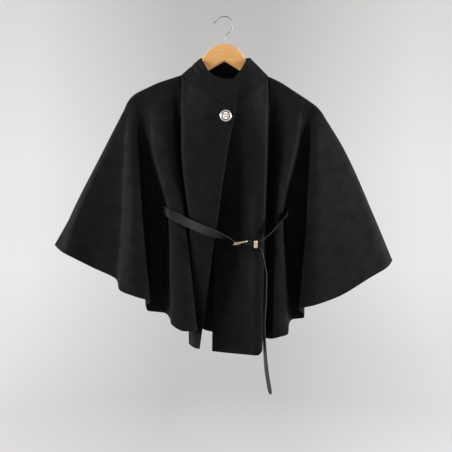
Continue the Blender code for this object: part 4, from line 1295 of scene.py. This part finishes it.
def hanger_points():
    """The wooden body: rounded rectangles between an upper and a lower line, thinning like a quarter circle
    at both ends."""
    upper = [LEFT_END] + lowered(LEFT_SHOULDER[2:5])[::-1] + list(HEAD_LEFT[::-1]) + list(HEAD_RIGHT)
    upper = np.array(upper + lowered(RIGHT_SHOULDER[2:4]) + [RIGHT_END], float)
    lower = np.array([LEFT_END, *UNDERSIDE, RIGHT_END], float)
    share = 0.5 - 0.5 * np.cos(np.linspace(0.0, math.pi, HANGER_COLUMNS))
    x = LEFT_END[0] + (RIGHT_END[0] - LEFT_END[0]) * share
    top, bottom = [through(line[:, 1], x, line[:, 0]) for line in (upper, lower)]
    half = np.maximum((top - bottom) / 2, 0.05)[:, None]
    middle = (top + bottom)[:, None] / 2
    thin = np.maximum(quarter_round(np.minimum(x - x[0], x[-1] - x) / HANGER_END_ROUND), 0.04)[:, None]
    corner = np.minimum(HANGER_BEVEL, half)
    along_y, along_z = ring(40, 0.5).T
    y = (along_y * HANGER_BEVEL + np.sign(along_y) * (HANGER_THICK / 2 - HANGER_BEVEL)) * thin
    z = middle + along_z * corner + np.sign(along_z) * (half - corner)
    return np.stack([x[:, None] + 0 * y, y, z], axis=-1)


class CAPE_OT_hanger(bpy.types.Operator):
    """Build the wooden hanger and its wire hook"""

    bl_idname = "cape.hanger"
    bl_label = "Hanger"

    def execute(self, context):
        wood = finish("varnished_wood", draw_wood)
        add_rings("hanger_wooden_body", hanger_points(), wood, ["hanger_body"], capped=True)
        rows = even_path([(x, 0, z) for x, z in HOOK], 0.8)[0]
        start_z = HEAD_LEFT[0][1] + HOOK_START_GAP
        rows = np.concatenate([[(HOOK[0][0], 0, start_z)], rows[rows[:, 2] > start_z + 0.1]])
        scale = np.ones(len(rows))
        scale[-3:] = (0.95, 0.8, 0.4)
        steel = finish("hook_wire_steel", draw_metal, STEEL, DULL_STEEL, 0.5)
        wire = sweep(rows, (0, 1, 0), ring(20) * HOOK_WIRE, scale)
        add_rings("hanger_wire_hook", wire, steel, ["hanger_hook"], capped=True)
        return {"FINISHED"}


def add_light(name, place, size, power, colour):
    """A square soft light aimed at the middle of the cape."""
    light = bpy.data.lights.new(name, "AREA")
    light.size = size
    light.energy = power
    light.color = colour
    obj = link(name, light)
    obj.location = place
    obj.rotation_euler = (Vector(LIT_PLACE) - Vector(place)).to_track_quat("-Z", "Y").to_euler()


class CAPE_OT_stage(bpy.types.Operator):
    """Build the floor, the lights and the camera"""

    bl_idname = "cape.stage"
    bl_label = "Stage"

    def execute(self, context):
        scene = context.scene
        settings = scene.cape_stage
        floor = link("floor_and_wall", self.backdrop(-settings.floor_down))
        floor.data.materials.append(finish("pale_plaster", draw_plaster))
        world = bpy.data.worlds.new("room")
        world.use_nodes = True
        background = world.node_tree.nodes["Background"]
        background.inputs["Color"].default_value = (0.93, 0.96, 1.0, 1.0)
        background.inputs["Strength"].default_value = settings.sky
        scene.world = world
        add_light("key", (-2.3, -0.66, 0.15), 1.0, settings.key, (1.0, 0.965, 0.92))
        add_light("fill", (2.35, -0.46, 0.0), 1.0, settings.fill, (0.95, 0.97, 1.0))
        add_light("behind", (0.9, 2.3, 0.7), 1.2, BEHIND_POWER, (1.0, 0.98, 0.95))
        camera = bpy.data.cameras.new("camera")
        camera.sensor_width = SENSOR_WIDE
        camera.lens = SENSOR_WIDE * settings.camera_away / VIEW_WIDE
        holder = link("camera", camera)
        holder.location = (VIEW_X, -settings.camera_away, VIEW_Z)
        holder.rotation_euler = (math.radians(90), 0, 0)
        scene.camera = holder
        scene.view_settings.view_transform = "Standard"
        return {"FINISHED"}

    def backdrop(self, floor_z):
        """A round floor that bends up through a quarter circle into a wall, facing inwards."""
        turn = np.linspace(0, math.pi / 2, 24)
        flat = [0.0005, 0.6, 1.2, 1.8, 2.4]
        wall = [1.5, 3.4]
        outwards = FLOOR_RADIUS + WALL_BEND * np.sin(turn)
        upwards = floor_z + WALL_BEND * (1 - np.cos(turn))
        radius = np.concatenate([flat, outwards, [outwards[-1]] * len(wall)])[:, None]
        height = np.concatenate([[floor_z] * len(flat), upwards, wall])[:, None]
        around = np.linspace(0, 2 * math.pi, 96, endpoint=False)
        points = np.stack([radius * np.cos(around), radius * np.sin(around), height + 0 * around], axis=-1)
        mesh = grid_mesh("floor_and_wall", points / MM, around=True)
        mesh.flip_normals()
        return mesh


BUILDERS = (
    CAPE_OT_stage, CAPE_OT_hanger, CAPE_OT_fronts, CAPE_OT_back, CAPE_OT_collar, CAPE_OT_belt, CAPE_OT_buckle,
    CAPE_OT_button,
)
SETTINGS = (
    ("cape_cloth", ClothSettings),
    ("cape_leather", LeatherSettings),
    ("cape_metals", MetalSettings),
    ("cape_hanger", HangerSettings),
    ("cape_stage", StageSettings),
)


class CAPE_PT_sidebar(bpy.types.Panel):
    """Sizes and colours of the cape, and a button for each builder"""

    bl_label = "Cape on hanger"
    bl_idname = "CAPE_PT_sidebar"
    bl_space_type = "VIEW_3D"
    bl_region_type = "UI"
    bl_category = "Cape"

    def draw(self, context):
        for attribute, settings in SETTINGS:
            box = self.layout.box()
            for name in settings.__annotations__:
                box.prop(getattr(context.scene, attribute), name)
        for builder in BUILDERS:
            self.layout.operator(builder.bl_idname)


def register():
    for attribute, settings in SETTINGS:
        bpy.utils.register_class(settings)
        setattr(bpy.types.Scene, attribute, bpy.props.PointerProperty(type=settings))
    for builder in BUILDERS + (CAPE_PT_sidebar,):
        bpy.utils.register_class(builder)


def unregister():
    for builder in (CAPE_PT_sidebar,) + BUILDERS[::-1]:
        bpy.utils.unregister_class(builder)
    for attribute, settings in SETTINGS[::-1]:
        delattr(bpy.types.Scene, attribute)
        bpy.utils.unregister_class(settings)


def main():
    register()
    bpy.ops.cape.stage()
    bpy.ops.cape.hanger()
    bpy.ops.cape.fronts()
    bpy.ops.cape.back()
    bpy.ops.cape.collar()
    bpy.ops.cape.belt()
    bpy.ops.cape.buckle()
    bpy.ops.cape.button()


if __name__ == "__main__":
    main()
